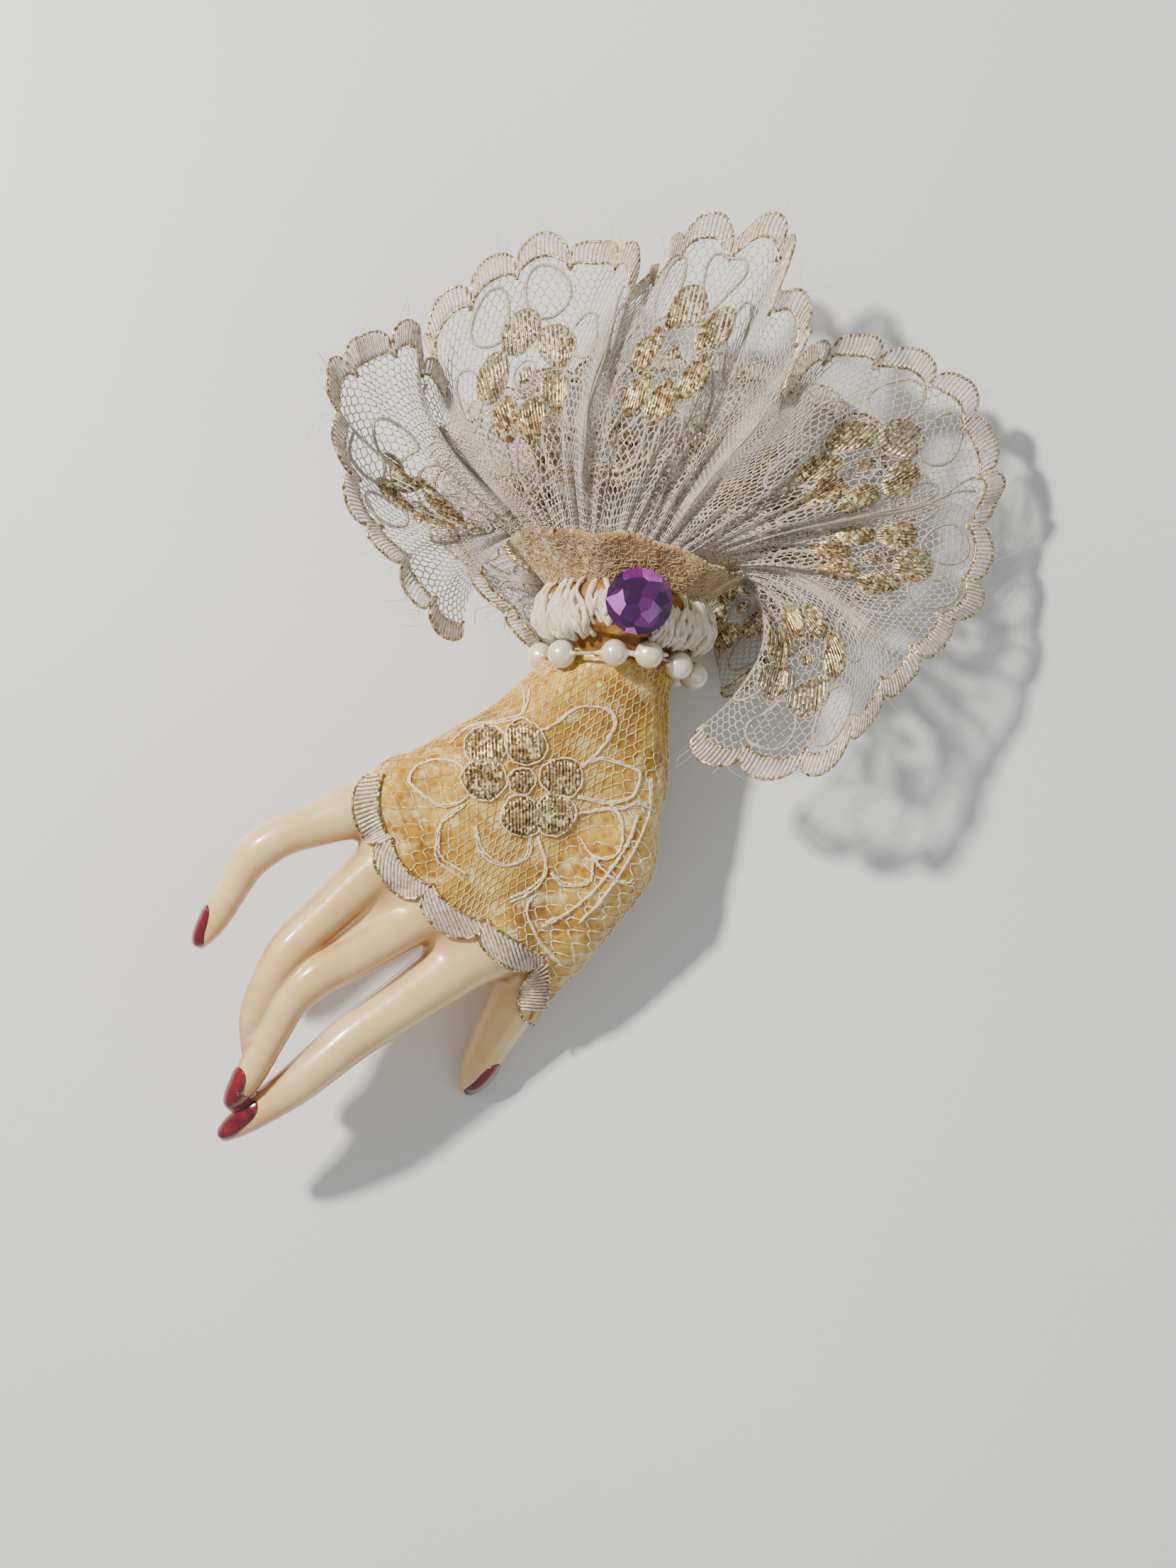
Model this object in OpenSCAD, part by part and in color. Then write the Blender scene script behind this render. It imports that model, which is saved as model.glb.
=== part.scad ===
// Hat pin: a moulded lady's hand with a lace glove, a pearl bracelet and a gathered lace ruffle,
// glued to a bar pin with a roll-over lock.
// The origin is the middle of the pin's stem. +X runs along the stem towards its point,
// +Y along the forearm towards the ruffle, +Z from the pin up to the back of the hand.

/* [Hand] */
// Length from the wrist to the fingertips, which sets the whole hand
hand_len = 62; // [50:1:76]
// Radius of the forearm inside the cuff
forearm_r = 5.4; // [4.4:0.1:6.5]
// Thickness of the lacquer on a nail
nail_t = 0.3; // [0.2:0.05:0.4]
// Length of a nail
nail_l = 3.8; // [3:0.1:4.6]

/* [Glove and cuff] */
// Thickness of the lace glove with its glue
glove_t = 0.3; // [0.2:0.05:0.4]
// Thickness of the scalloped hem on the glove
hem_t = 0.3; // [0.2:0.05:0.4]
// Width of the scalloped hem
hem_w = 2.9; // [2:0.1:4]
// Wall of the gauntlet cuff
cuff_t = 0.6; // [0.4:0.05:0.9]
// Width across the open end of the cuff
cuff_w = 22; // [18:0.5:28]
// Length of the cuff along the forearm
cuff_len = 10.4; // [9:0.1:13]
// Thickness of the gathered heading band
heading_t = 2.8; // [1.9:0.1:3.4]
// Width of the gathered heading band
heading_w = 5; // [4:0.1:6]

/* [Ruffle] */
// Depth of the lace from its gathers to its scalloped edge
ruffle_depth = 34; // [28:1:41]
// Thickness of the lace solid
lace_t = 0.4; // [0.3:0.05:0.6]
// Number of small waves along the ruffle
wave_count = 9; // [5:1:14]
// Height of the small waves at the edge
wave_h = 1.6; // [0.5:0.1:2.5]

/* [Bracelet] */
// Pearl diameter
pearl_d = 2.5; // [2:0.1:3]
// Diameter of the bead thread
thread_d = 0.4; // [0.3:0.05:0.5]
// Room between the wrist and the pearls
pearl_gap = 0.1; // [0.05:0.05:0.5]

/* [Stone] */
// Diameter of the flat-back stone
stone_d = 6.4; // [5:0.1:8]
// Height of the stone over its foil
stone_h = 2.1; // [1.6:0.1:2.8]
// Thickness of the foil back
foil_t = 0.2; // [0.1:0.05:0.4]

/* [Pin finding] */
// Length of the bar
bar_len = 19; // [16:0.5:23]
// Width of the bar
bar_w = 4; // [3.4:0.1:5]
// Thickness of the bar
bar_t = 0.6; // [0.5:0.05:0.8]
// Thickness of the glue pad over the bar
pad_t = 0.3; // [0.2:0.05:0.5]
// Diameter of the pin stem
stem_d = 0.8; // [0.7:0.05:0.95]
// Length of the stem's straight shank
shank_len = 13; // [10:0.5:14]
// Length of the stem's taper to its point
point_len = 4.8; // [4:0.1:6]
// Distance from the stem's axis to the bar
stem_drop = 2.3; // [2.1:0.05:3]
// Thickness of each hinge ear
ear_t = 0.5; // [0.4:0.05:0.6]
// Wall of the catch
catch_wall = 0.5; // [0.4:0.05:0.55]
// Length of the catch along the stem
catch_len = 2; // [1.6:0.1:2.4]
// Wall of the lock inside the catch
lock_wall = 0.5; // [0.4:0.05:0.6]

/* [Hidden] */

nominal_len = 62;
k = hand_len / nominal_len;
fit_gap = 0.05;
play = 0.12;

// Heights of the finding, from the stem's axis up to the flat on the palm.
pad_z = stem_drop + bar_t;
seat_z = pad_z + pad_t;

// The finding: everything follows from the stem's radius and the gaps round it.
stem_r = stem_d / 2;
rivet_r = 0.42;
eye_bore_r = rivet_r + fit_gap;
eye_r = eye_bore_r + 0.48;
eye_w = 1;
neck_r = 0.48;
neck_len = 0.7;
hinge_x = -shank_len / 2 - neck_len - eye_r;
lock_in = stem_r + 0.25;
lock_r = lock_in + lock_wall;
catch_in = lock_r + fit_gap;
catch_r = catch_in + catch_wall;
mouth = stem_d + 0.36;
catch_x = shank_len / 2 + 0.6;
flange_t = 0.6;
lip_t = 0.25;
side_gap = 0.15;
// The object lies on its catch, the tip of its thumb and the lower layer of its ruffle.
table_z = -catch_r;

// The hand's joints: place and radius, about the middle of the flat, on a hand 62 long.
// Each place is [x, y, height over the flat, radius].
WRIST = [5.5, 9.3, 5.1, 5.5];
HEEL_OUT = [1.2, 5.5, 7.1, 4.2];
HEEL_MID = [-5.7, 1.3, 8.6, 3.8];
HEEL_IN = [6.9, -0.7, 3.4, 4.2];
LITTLE = [[-15.3, -2.8, 9.1, 3.3], [-20, -4, 10.6, 2.5], [-23.3, -5.2, 11.2, 2.0], [-26, -6.1, 11.7, 1.9],
  [-28.4, -7.6, 11.7, 1.9], [-29.8, -9.3, 11.1, 1.6], [-32.8, -14.1, 9.6, 1.3], [-34.5, -16.5, 8.6, 0.75]];
RING = [[-13.6, -7, 8.6, 3.3], [-18, -10, 9.6, 2.5], [-22, -13.7, 10.6, 2.1], [-25.2, -16.8, 11.2, 2.0],
  [-27.2, -19.7, 11.1, 1.7], [-28.9, -23.3, 10.5, 1.4], [-30.8, -27.9, 9.2, 1.2], [-31.4, -29.7, 8.7, 0.8]];
MIDDLE = [[-11, -11.9, 7.1, 3.5], [-14.7, -14.9, 8.6, 2.4], [-19, -17.6, 9.9, 2.1], [-22.8, -19.5, 10.7, 2.1],
  [-25.4, -21.9, 10.7, 1.8], [-27.2, -25.1, 10.2, 1.6], [-29.7, -29.6, 9.4, 1.4], [-31.4, -32.1, 8.7, 0.8]];
INDEX = [[-6.5, -16.3, 5.1, 3.6], [-11.4, -20.1, 6.2, 2.9], [-15.5, -23, 7.1, 2.5], [-19.6, -25.8, 7.7, 2.3],
  [-23, -28.6, 7.9, 2.1], [-25.8, -30.9, 7.7, 1.9], [-29.9, -33.7, 7.1, 1.5], [-32.4, -35.5, 6.7, 0.8]];
THUMB = [[4.7, -8.5, 2.7, 4.6], [-0.7, -16.4, 1.4, 3.9], [-4, -22.9, -0.4, 2.6], [-6.4, -27.1, -1.7, 2.1],
  [-8.1, -30.4, -2.8, 1.6], [-9.2, -32.2, -3.7, 0.9]];
FINGERS = [LITTLE, RING, MIDDLE, INDEX, THUMB];
// The belly of the palm, low and level, so that the finding has a flat to sit on.
BELLY = [[-8.5, -0.5, 2, 3.4], [8.1, -0.5, 2, 3.1], [0.5, 4.2, 2, 3.2], [-2.5, -7.5, 2, 3.2]];

// The forearm's axis, on which the cuff, the heading, the bracelet and the ruffle are centred.
arm_x = 6.9 * k;
arm_y = 15.5 * k;
arm_z = seat_z + 5.7 * k;
bracelet_x = 6.2 * k;
bracelet_y = 11.4 * k + (pearl_d - 2.5) / 2;
bracelet_z = seat_z + 5.1 * k;
// The pearls clear the fuller of the palm's end and the forearm.
bracelet_r = max((WRIST[3] + 0.6) * k, forearm_r + arm_x - bracelet_x) + glove_t + pearl_gap + pearl_d / 2;

// Heading and cuff, from the forearm outwards.
cuff_in = forearm_r + 0.1;
flare_r = cuff_w / 2 + forearm_r - 5.4;
heading_in = cuff_in + cuff_t + fit_gap;
heading_out = heading_in + heading_t;
heading_y = arm_y + 0.6;
cuff_y = heading_y - heading_w / 2 - 0.4;
ruffle_in = heading_in + 0.3;
// The stone lies on the heading's upper side.
stone_x = arm_x + 1.2;
stone_z = arm_z + heading_out + 0.3;
ruffle_y = heading_y + heading_w / 2 + 1.2;
spread = ruffle_depth / 34;
// How far the upper layer stands off the heading where it turns over, and the heading's usual radius.
turn_off = heading_out - ruffle_in + 3.5;
usual_r = 8.95;
// How far the lace runs along the arm before it turns over.
turn_up = 14;

// Free edge of the ruffle's upper layer, from low on the thumb side, over the top, to low on the left:
// [x, y, z] from the centre of its gathers, on a ruffle 34 deep. The edge folds over itself in places.
EDGE = [[9, -17.5, 2], [11, -19.5, 4.5], [14.5, -21, 6.5], [19, -20.5, 6.5], [23, -16.5, 5.5], [28.5, -11, 2.5],
  [35, -4, -1.5], [37, 0.5, -2.5], [38, 9, -3], [36.5, 14.5, -2.5], [32, 20, -1.5], [28.5, 21.5, -0.5],
  [22.5, 22.5, 1.5], [18, 21.5, 3.5], [17.8, 24, 5.5], [15.8, 27, 3.5], [16, 33, 4.5], [11.3, 32.3, 3.5],
  [6.5, 33.3, 3.5], [4, 30.5, 5.5], [0.8, 30.3, 5.5], [-2.6, 31.5, 2.5], [-8, 32.5, 1.5], [-11.2, 31, 2.5],
  [-16.3, 27, 4.5], [-20, 23.5, 6.5], [-20.5, 21, 8.5], [-21.8, 22, 11.5], [-26.8, 19, 15.5],
  [-27.8, 15.5, 16.5], [-27, 11, 17.5], [-26.5, 7.8, 16.5], [-25.5, 2.2, 14.5], [-22.6, -0.5, 13.5],
  [-21, -3, 10.5], [-19.3, -6.5, 7.5], [-16.2, -8.6, 3.5]];
// Free edge of the lower layer: [x, y] from the same centre, and the height over the table.
EDGE_UNDER = [[10, -13, 3], [17, -8, 3], [27, -1, 2], [30, 9, 3.2], [25, 17, 2], [13, 22.5, 3.2],
  [1, 25, 2], [-10, 21.5, 3.2], [-18, 14.5, 2], [-22, 4, 3.2], [-21, -5, 2], [-14, -11, 3]];

// A ball at one of the hand's places, grown by a thickness.
module ball(p, grow = 0) {
  translate([p[0] * k, p[1] * k, seat_z + p[2] * k])
    sphere(r = p[3] * k + grow, $fn = 16);
}

module blend(places, grow = 0) {
  hull()
    for (p = places)
      ball(p, grow);
}

module limb(places, first, last, grow = 0) {
  for (i = [first : last - 1])
    blend([places[i], places[i + 1]], grow);
}

// The palm, from the wrist to the roots of the fingers and of the thumb.
module palm(grow = 0) {
  blend([WRIST, HEEL_OUT, HEEL_IN, BELLY[1], BELLY[2]], grow);
  blend(concat(BELLY, [HEEL_OUT, HEEL_IN, HEEL_MID]), grow);
  blend([HEEL_OUT, HEEL_MID, LITTLE[0], RING[0], BELLY[0]], grow);
  blend([HEEL_MID, HEEL_IN, RING[0], MIDDLE[0], BELLY[3]], grow);
  blend([HEEL_IN, MIDDLE[0], INDEX[0], THUMB[0], BELLY[3]], grow);
  blend([INDEX[0], THUMB[0], THUMB[1], BELLY[3]], grow);
  limb(THUMB, 1, 2, grow);
}

module arm(length) {
  translate([arm_x, cuff_y - 0.6, arm_z])
    rotate([-90, 0, 0])
      cylinder(r = forearm_r, h = length, $fn = 32);
}

module forearm() {
  hull() {
    ball(WRIST);
    arm(0.1);
  }
  arm(heading_w + 1.4);
}

// Room for the glue pad under the palm.
module pad_room() {
  translate([-bar_len / 2 - 1, -bar_w / 2 - 1, seat_z - 12])
    cube([bar_len + 2, bar_w + 2, 12]);
}

module hand_solid() {
  difference() {
    union() {
      palm();
      forearm();
      for (f = FINGERS)
        limb(f, 0, len(f) - 1);
    }
    pad_room();
  }
}

// A nail's blank: a flat-ended lozenge that lies along the last joints, on the upper side.
module nail_blank(f, side) {
  n = len(f);
  tip = f[n - 1];
  back = f[n - 2];
  d = [tip[0] - back[0], tip[1] - back[1], tip[2] - back[2]];
  unit = d / norm(d);
  r_back = back[3] * k;
  hull() {
    translate([tip[0] * k, tip[1] * k, seat_z + tip[2] * k] + unit * (tip[3] * k - 0.2) + [0, 0, tip[3] * k * 0.5])
      sphere(r = tip[3] * k * 0.6 + nail_t, $fn = 16);
    translate([tip[0] * k, tip[1] * k, seat_z + tip[2] * k] - unit * (nail_l - 1.4) + [side[0], side[1], r_back * 0.55])
      sphere(r = r_back * 0.6 + nail_t, $fn = 16);
  }
}

module nail(f, side) {
  color([0.62, 0.04, 0.05])
    render()
      difference() {
        nail_blank(f, side);
        hand_solid();
      }
}

// Where the hem runs: a strip across the roots of the fingers and down the side of the thumb.
HEM = [[-15.6, 1.2], [-15.2, -3.4], [-12.9, -7.6], [-9.3, -11.4], [-4.4, -14.6], [0.8, -15.6], [-1.4, -21.4]];

module hem_strip() {
  translate([0, 0, seat_z - 4])
    linear_extrude(height = 24 * k)
      for (i = [0 : len(HEM) - 2])
        hull() {
          translate(HEM[i] * k)
            circle(d = hem_w, $fn = 12);
          translate(HEM[i + 1] * k)
            circle(d = hem_w, $fn = 12);
        }
}

// Everything from the hem back to the wrist.
module glove_area() {
  translate([0, 0, seat_z - 8])
    linear_extrude(height = 34 * k)
      polygon(concat([for (p = HEM) p * k], [[14, -22] * k, [16, 9] * k, [-4, 14] * k, [-16, 4] * k]));
}

// A closed sheet over a grid of points: rows of equal length, thickened downwards by t.
module sheet(rows, t) {
  m = len(rows);
  n = len(rows[0]);
  top = [for (row = rows) each row];
  points = concat(top, [for (p = top) p - [0, 0, t]]);
  function at(i, j, low) = i * n + j + (low ? m * n : 0);
  faces = concat(
    [for (i = [0 : m - 2], j = [0 : n - 2]) each [
      [at(i, j), at(i + 1, j), at(i + 1, j + 1)],
      [at(i, j), at(i + 1, j + 1), at(i, j + 1)],
      [at(i, j, true), at(i + 1, j + 1, true), at(i + 1, j, true)],
      [at(i, j, true), at(i, j + 1, true), at(i + 1, j + 1, true)]]],
    [for (i = [0 : m - 2], j = [0, n - 1]) each [
      j == 0 ? [at(i, j), at(i, j, true), at(i + 1, j, true)] : [at(i, j), at(i + 1, j, true), at(i, j, true)],
      j == 0 ? [at(i, j), at(i + 1, j, true), at(i + 1, j)] : [at(i, j), at(i + 1, j), at(i + 1, j, true)]]],
    [for (j = [0 : n - 2], i = [0, m - 1]) each [
      i == 0 ? [at(i, j), at(i, j + 1, true), at(i, j, true)] : [at(i, j), at(i, j, true), at(i, j + 1, true)],
      i == 0 ? [at(i, j), at(i, j + 1), at(i, j + 1, true)] : [at(i, j), at(i, j + 1, true), at(i, j + 1)]]]
  );
  polyhedron(points = points, faces = faces, convexity = 10);
}

// A point part of the way along a list of points, from 0 to 1.
function along(list, u) =
  let (s = u * (len(list) - 1), i = min(floor(s), len(list) - 2), f = s - i)
  list[i] * (1 - f) + list[i + 1] * f;

// A place across the ruffle, kept outside the heading whatever the sizes.
function reach(x) =
  abs(x) < usual_r
    ? x * heading_out / usual_r
    : sign(x) * (heading_out + (abs(x) - usual_r) * spread);

// One layer of the ruffle: from the gathers round the arm out to the free edge, with small waves.
function ruffle_rows(edge, from, to, turn_out, base_z, stations, ribs) = [
  for (i = [0 : stations])
    let (
      u = i / stations,
      a = from + (to - from) * u,
      root = [ruffle_in * cos(a), 0, ruffle_in * sin(a)],
      turn = root + [turn_out * cos(a), turn_up, turn_out * sin(a)],
      at_edge = along(edge, u),
      rim = [reach(at_edge[0]), at_edge[1] * spread, base_z + at_edge[2]]
    )
    [for (j = [0 : ribs])
      let (v = j / ribs)
      [arm_x, ruffle_y, arm_z] + root * (1 - v) * (1 - v) + turn * 2 * v * (1 - v) + rim * v * v
        + [0, 0, wave_h * v * sin(wave_count * 360 * u)]]
];

module hand() {
  color([0.93, 0.86, 0.70])
    hand_solid();
}

module nail_1() {
  nail(LITTLE, [0, 0]);
}

module nail_2() {
  nail(RING, [0, 0]);
}

module nail_3() {
  nail(MIDDLE, [0, 0]);
}

module nail_4() {
  nail(INDEX, [0, 0]);
}

module nail_5() {
  nail(THUMB, [0, 0]);
}

module glove_lace() {
  color([0.90, 0.76, 0.46])
    render()
      difference() {
        intersection() {
          palm(glove_t);
          glove_area();
        }
        hand_solid();
        pad_room();
        hem_strip();
      }
}

module glove_hem() {
  color([0.72, 0.64, 0.52])
    render()
      difference() {
        intersection() {
          union() {
            palm(glove_t + hem_t);
            for (f = FINGERS)
              limb(f, 0, 2, hem_t);
          }
          hem_strip();
        }
        hand_solid();
        pad_room();
      }
}

// Anything turned round the forearm's axis: x is the radius and y runs along the arm.
module round_the_arm(from = 0, sweep = 360) {
  translate([arm_x, 0, arm_z])
    rotate([-90, 0, 0])
      rotate([0, 0, from])
        rotate_extrude(angle = sweep, $fn = 96)
          children();
}

// The cuff covers the upper part of the arm only, and flares beyond the heading.
module cuff() {
  flare_y = heading_y + heading_w / 2 + 0.3;
  color([0.74, 0.60, 0.38])
    round_the_arm(175, 190)
      polygon([
        [cuff_in, cuff_y],
        [cuff_in + cuff_t, cuff_y],
        [cuff_in + cuff_t, flare_y],
        [flare_r, cuff_y + cuff_len],
        [flare_r - cuff_t, cuff_y + cuff_len],
        [cuff_in, flare_y + 0.3]
      ]);
}

module heading() {
  color([0.93, 0.91, 0.85])
    round_the_arm()
      translate([heading_in, heading_y - heading_w / 2])
        square([heading_t, heading_w]);
}

module ruffle() {
  color([0.84, 0.81, 0.74])
    sheet(ruffle_rows(EDGE, -35, 225, turn_off, 0, 108, 7), lace_t);
}

module ruffle_under() {
  color([0.78, 0.75, 0.69])
    sheet(ruffle_rows(EDGE_UNDER, -50, -130, 0.5, table_z - arm_z, 66, 5), lace_t);
}

// Angles of the pearls round the wrist, from the top towards the thumb side, in degrees.
PEARLS = [-80, -45, -3, 22, 49, 77, 104, 131, 158, 185, 212, 239];

module bead_thread() {
  color([0.90, 0.87, 0.78])
    translate([bracelet_x, bracelet_y, bracelet_z])
      rotate([-90, 0, 0])
        rotate_extrude($fn = 96)
          translate([bracelet_r, 0])
            circle(d = thread_d, $fn = 24);
}

// One pearl, with a straight bore that leaves room for the curve of its thread.
module pearl(i) {
  rise = bracelet_r - sqrt(bracelet_r * bracelet_r - pearl_d * pearl_d / 4);
  bore_r = thread_d / 2 + rise + fit_gap;
  color([0.95, 0.92, 0.84])
    translate([bracelet_x, bracelet_y, bracelet_z])
      rotate([0, PEARLS[i - 1], 0])
        translate([0, 0, bracelet_r])
          rotate([0, 90, 0])
            rotate_extrude($fn = 48)
              difference() {
                circle(d = pearl_d, $fn = 48);
                translate([bore_r - pearl_d, -pearl_d])
                  square([pearl_d, 2 * pearl_d]);
              }
}

module stone() {
  color([0.45, 0.08, 0.50])
    translate([stone_x, heading_y, stone_z + foil_t])
      hull() {
        cylinder(d = stone_d, h = 0.5, $fn = 16);
        cylinder(d = stone_d * 0.62, h = stone_h * 0.8, $fn = 8);
        cylinder(d = 0.4, h = stone_h, $fn = 8);
      }
}

module stone_foil() {
  color([0.75, 0.75, 0.78])
    translate([stone_x, heading_y, stone_z])
      cylinder(d = stone_d - 0.3, h = foil_t, $fn = 48);
}

// The glue fills the space between the foil and the round of the heading.
module stone_glue() {
  color([0.85, 0.72, 0.45])
    difference() {
      translate([stone_x, heading_y, arm_z + heading_out - 1])
        cylinder(d = stone_d - 1.6, h = stone_z - arm_z - heading_out + 1, $fn = 48);
      translate([arm_x, heading_y - heading_w, arm_z])
        rotate([-90, 0, 0])
          cylinder(r = heading_out, h = 2 * heading_w, $fn = 96);
    }
}

module glue_pad() {
  color([0.88, 0.80, 0.55])
    translate([-bar_len / 2 + 0.4, -bar_w / 2 - 0.2, pad_z])
      cube([bar_len - 0.8, bar_w + 0.4, pad_t]);
}

module pin_bar() {
  ear_r = 0.95;
  color([0.78, 0.77, 0.74])
    difference() {
      union() {
        translate([-bar_len / 2, -bar_w / 2, stem_drop])
          cube([bar_len, bar_w, bar_t]);
        for (side = [-1, 1])
          translate([hinge_x, side * (eye_w / 2 + play + ear_t / 2), 0]) {
            rotate([90, 0, 0])
              cylinder(r = ear_r, h = ear_t, center = true, $fn = 48);
            translate([-ear_r, -ear_t / 2, 0])
              cube([2 * ear_r, ear_t, stem_drop + bar_t / 2]);
          }
      }
      translate([hinge_x, 0, 0])
        rotate([90, 0, 0])
          cylinder(r = rivet_r, h = bar_w, center = true, $fn = 32);
    }
}

module hinge_rivet() {
  reach = eye_w / 2 + play + ear_t;
  head_t = 0.25;
  color([0.70, 0.69, 0.66])
    translate([hinge_x, 0, 0])
      rotate([90, 0, 0]) {
        cylinder(r = rivet_r, h = 2 * reach, center = true, $fn = 32);
        for (side = [-1, 1])
          translate([0, 0, side * (reach + head_t / 2)])
            cylinder(r = 0.72, h = head_t, center = true, $fn = 32);
      }
}

// A ring round the stem, open downwards.
module open_ring(inner, outer, x, length) {
  translate([x, 0, 0])
    difference() {
      rotate([0, 90, 0])
        cylinder(r = outer, h = length, $fn = 64);
      rotate([0, 90, 0])
        translate([0, 0, -1])
          cylinder(r = inner, h = length + 2, $fn = 64);
      translate([-1, -mouth / 2, -outer - 1])
        cube([length + 2, mouth, outer + 1]);
    }
}

module pin_catch() {
  web_z = catch_in + catch_wall / 2;
  color([0.78, 0.77, 0.74])
    union() {
      open_ring(catch_in, catch_r, catch_x, catch_len);
      translate([catch_x, -0.6, web_z])
        cube([catch_len, 1.2, stem_drop - web_z]);
    }
}

// The lock is at rest with its mouth in line with the catch's mouth, and turns to shut it.
module catch_lock() {
  lip_r = catch_in + catch_wall * 0.6;
  back_x = catch_x - side_gap - lip_t;
  front_x = catch_x + catch_len + side_gap;
  color([0.83, 0.80, 0.70])
    union() {
      open_ring(lock_in, lock_r, back_x, front_x + flange_t - back_x);
      open_ring(lock_in, lip_r, back_x, lip_t);
      open_ring(lock_in, lip_r, front_x, flange_t);
      translate([front_x, lock_r - 0.1, -0.35])
        cube([flange_t, 1.6, 0.7]);
    }
}

module pin_stem() {
  color([0.80, 0.79, 0.76])
    union() {
      difference() {
        union() {
          translate([hinge_x, 0, 0])
            rotate([90, 0, 0])
              cylinder(r = eye_r, h = eye_w, center = true, $fn = 48);
          translate([hinge_x + eye_r - 0.25, 0, 0])
            rotate([0, 90, 0])
              cylinder(r1 = neck_r, r2 = stem_r, h = neck_len + 0.25, $fn = 32);
        }
        translate([hinge_x, 0, 0])
          rotate([90, 0, 0])
            cylinder(r = eye_bore_r, h = eye_w + 1, center = true, $fn = 48);
      }
      translate([-shank_len / 2, 0, 0])
        rotate([0, 90, 0])
          cylinder(r = stem_r, h = shank_len, $fn = 32);
      translate([shank_len / 2, 0, 0])
        rotate([0, 90, 0])
          cylinder(r1 = stem_r, r2 = 0.08, h = point_len, $fn = 32);
    }
}

hand();
nail_1();
nail_2();
nail_3();
nail_4();
nail_5();
glove_lace();
glove_hem();
cuff();
heading();
ruffle();
ruffle_under();
bead_thread();
for (i = [1 : len(PEARLS)])
  pearl(i);
stone();
stone_foil();
stone_glue();
glue_pad();
pin_bar();
pin_catch();
hinge_rivet();
catch_lock();
pin_stem();
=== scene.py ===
"""A hat pin: an ivory lady's hand in a lace glove, with a pearl bracelet and a lace ruffle, on a bar pin."""

import math
from types import SimpleNamespace

import bpy
import numpy as np
from bpy.props import FloatProperty, FloatVectorProperty, IntProperty, PointerProperty
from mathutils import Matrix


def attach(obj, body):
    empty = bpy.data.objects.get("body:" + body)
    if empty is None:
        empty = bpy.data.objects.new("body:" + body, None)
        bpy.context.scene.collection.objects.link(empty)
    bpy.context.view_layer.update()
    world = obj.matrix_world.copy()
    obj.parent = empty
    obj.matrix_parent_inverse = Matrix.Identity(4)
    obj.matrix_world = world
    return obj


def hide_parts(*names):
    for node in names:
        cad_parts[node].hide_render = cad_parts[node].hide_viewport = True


bl_info = {
    "name": "Lace hand hat pin",
    "version": (1, 0, 0),
    "blender": (4, 5, 0),
    "location": "View3D > Sidebar > Hat Pin",
    "description": "Builds a moulded lady's hand with a lace glove and ruffle on a bar pin",
    "category": "Add Mesh",
}

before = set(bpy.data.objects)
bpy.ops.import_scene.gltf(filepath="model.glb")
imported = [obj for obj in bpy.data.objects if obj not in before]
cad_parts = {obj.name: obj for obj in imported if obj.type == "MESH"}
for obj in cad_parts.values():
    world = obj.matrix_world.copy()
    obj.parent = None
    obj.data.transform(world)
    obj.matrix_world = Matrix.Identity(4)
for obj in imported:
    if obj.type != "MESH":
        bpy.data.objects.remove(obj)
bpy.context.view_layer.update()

# All lengths below are in millimetres until a mesh is made.
MM = 0.001
BODY = "brooch"
TABLE_Z = -1.6
SEAT_Z = 3.2
TABLE_HALF = 1.0  # in metres

# The hand's joints, as [x, y, height over the palm's flat, radius].
WRIST = [5.5, 9.3, 5.1, 5.5]
HEEL_OUT = [1.2, 5.5, 7.1, 4.2]
HEEL_MID = [-5.7, 1.3, 8.6, 3.8]
HEEL_IN = [6.9, -0.7, 3.4, 4.2]
LITTLE = [[-15.3, -2.8, 9.1, 3.3], [-20, -4, 10.6, 2.5], [-23.3, -5.2, 11.2, 2.0], [-26, -6.1, 11.7, 1.9],
          [-28.4, -7.6, 11.7, 1.9], [-29.8, -9.3, 11.1, 1.6], [-32.8, -14.1, 9.6, 1.3], [-34.5, -16.5, 8.6, 0.75]]
RING = [[-13.6, -7, 8.6, 3.3], [-18, -10, 9.6, 2.5], [-22, -13.7, 10.6, 2.1], [-25.2, -16.8, 11.2, 2.0],
        [-27.2, -19.7, 11.1, 1.7], [-28.9, -23.3, 10.5, 1.4], [-29.5, -26.6, 8.1, 1.1], [-29.6, -28.2, 7.0, 0.75]]
MIDDLE = [[-11, -11.9, 7.1, 3.5], [-14.7, -14.9, 8.6, 2.4], [-19, -17.6, 9.9, 2.1], [-22.8, -19.5, 10.7, 2.1],
          [-25.4, -21.9, 10.7, 1.8], [-27.2, -25.1, 10.2, 1.6], [-29.7, -29.6, 9.4, 1.4], [-31.4, -32.1, 8.7, 0.8]]
INDEX = [[-6.5, -16.3, 5.1, 3.6], [-11.4, -20.1, 6.2, 2.9], [-15.5, -23, 7.1, 2.5], [-19.6, -25.8, 7.7, 2.3],
         [-23, -28.6, 7.9, 2.1], [-25.8, -30.9, 7.7, 1.9], [-29.9, -33.7, 7.1, 1.5], [-32.4, -35.5, 6.7, 0.8]]
THUMB = [[4.7, -8.5, 2.7, 4.6], [-0.7, -16.4, 1.4, 3.9], [-4, -22.9, -0.4, 2.6], [-6.4, -27.1, -1.7, 2.1],
         [-8.1, -30.4, -2.8, 1.6], [-9.2, -32.2, -3.7, 0.9]]
FINGERS = [LITTLE, RING, MIDDLE, INDEX]
BELLY = [[-8.5, -0.5, 2, 3.4], [8.1, -0.5, 2, 3.1], [0.5, 4.2, 2, 3.2], [-2.5, -7.5, 2, 3.2]]


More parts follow.
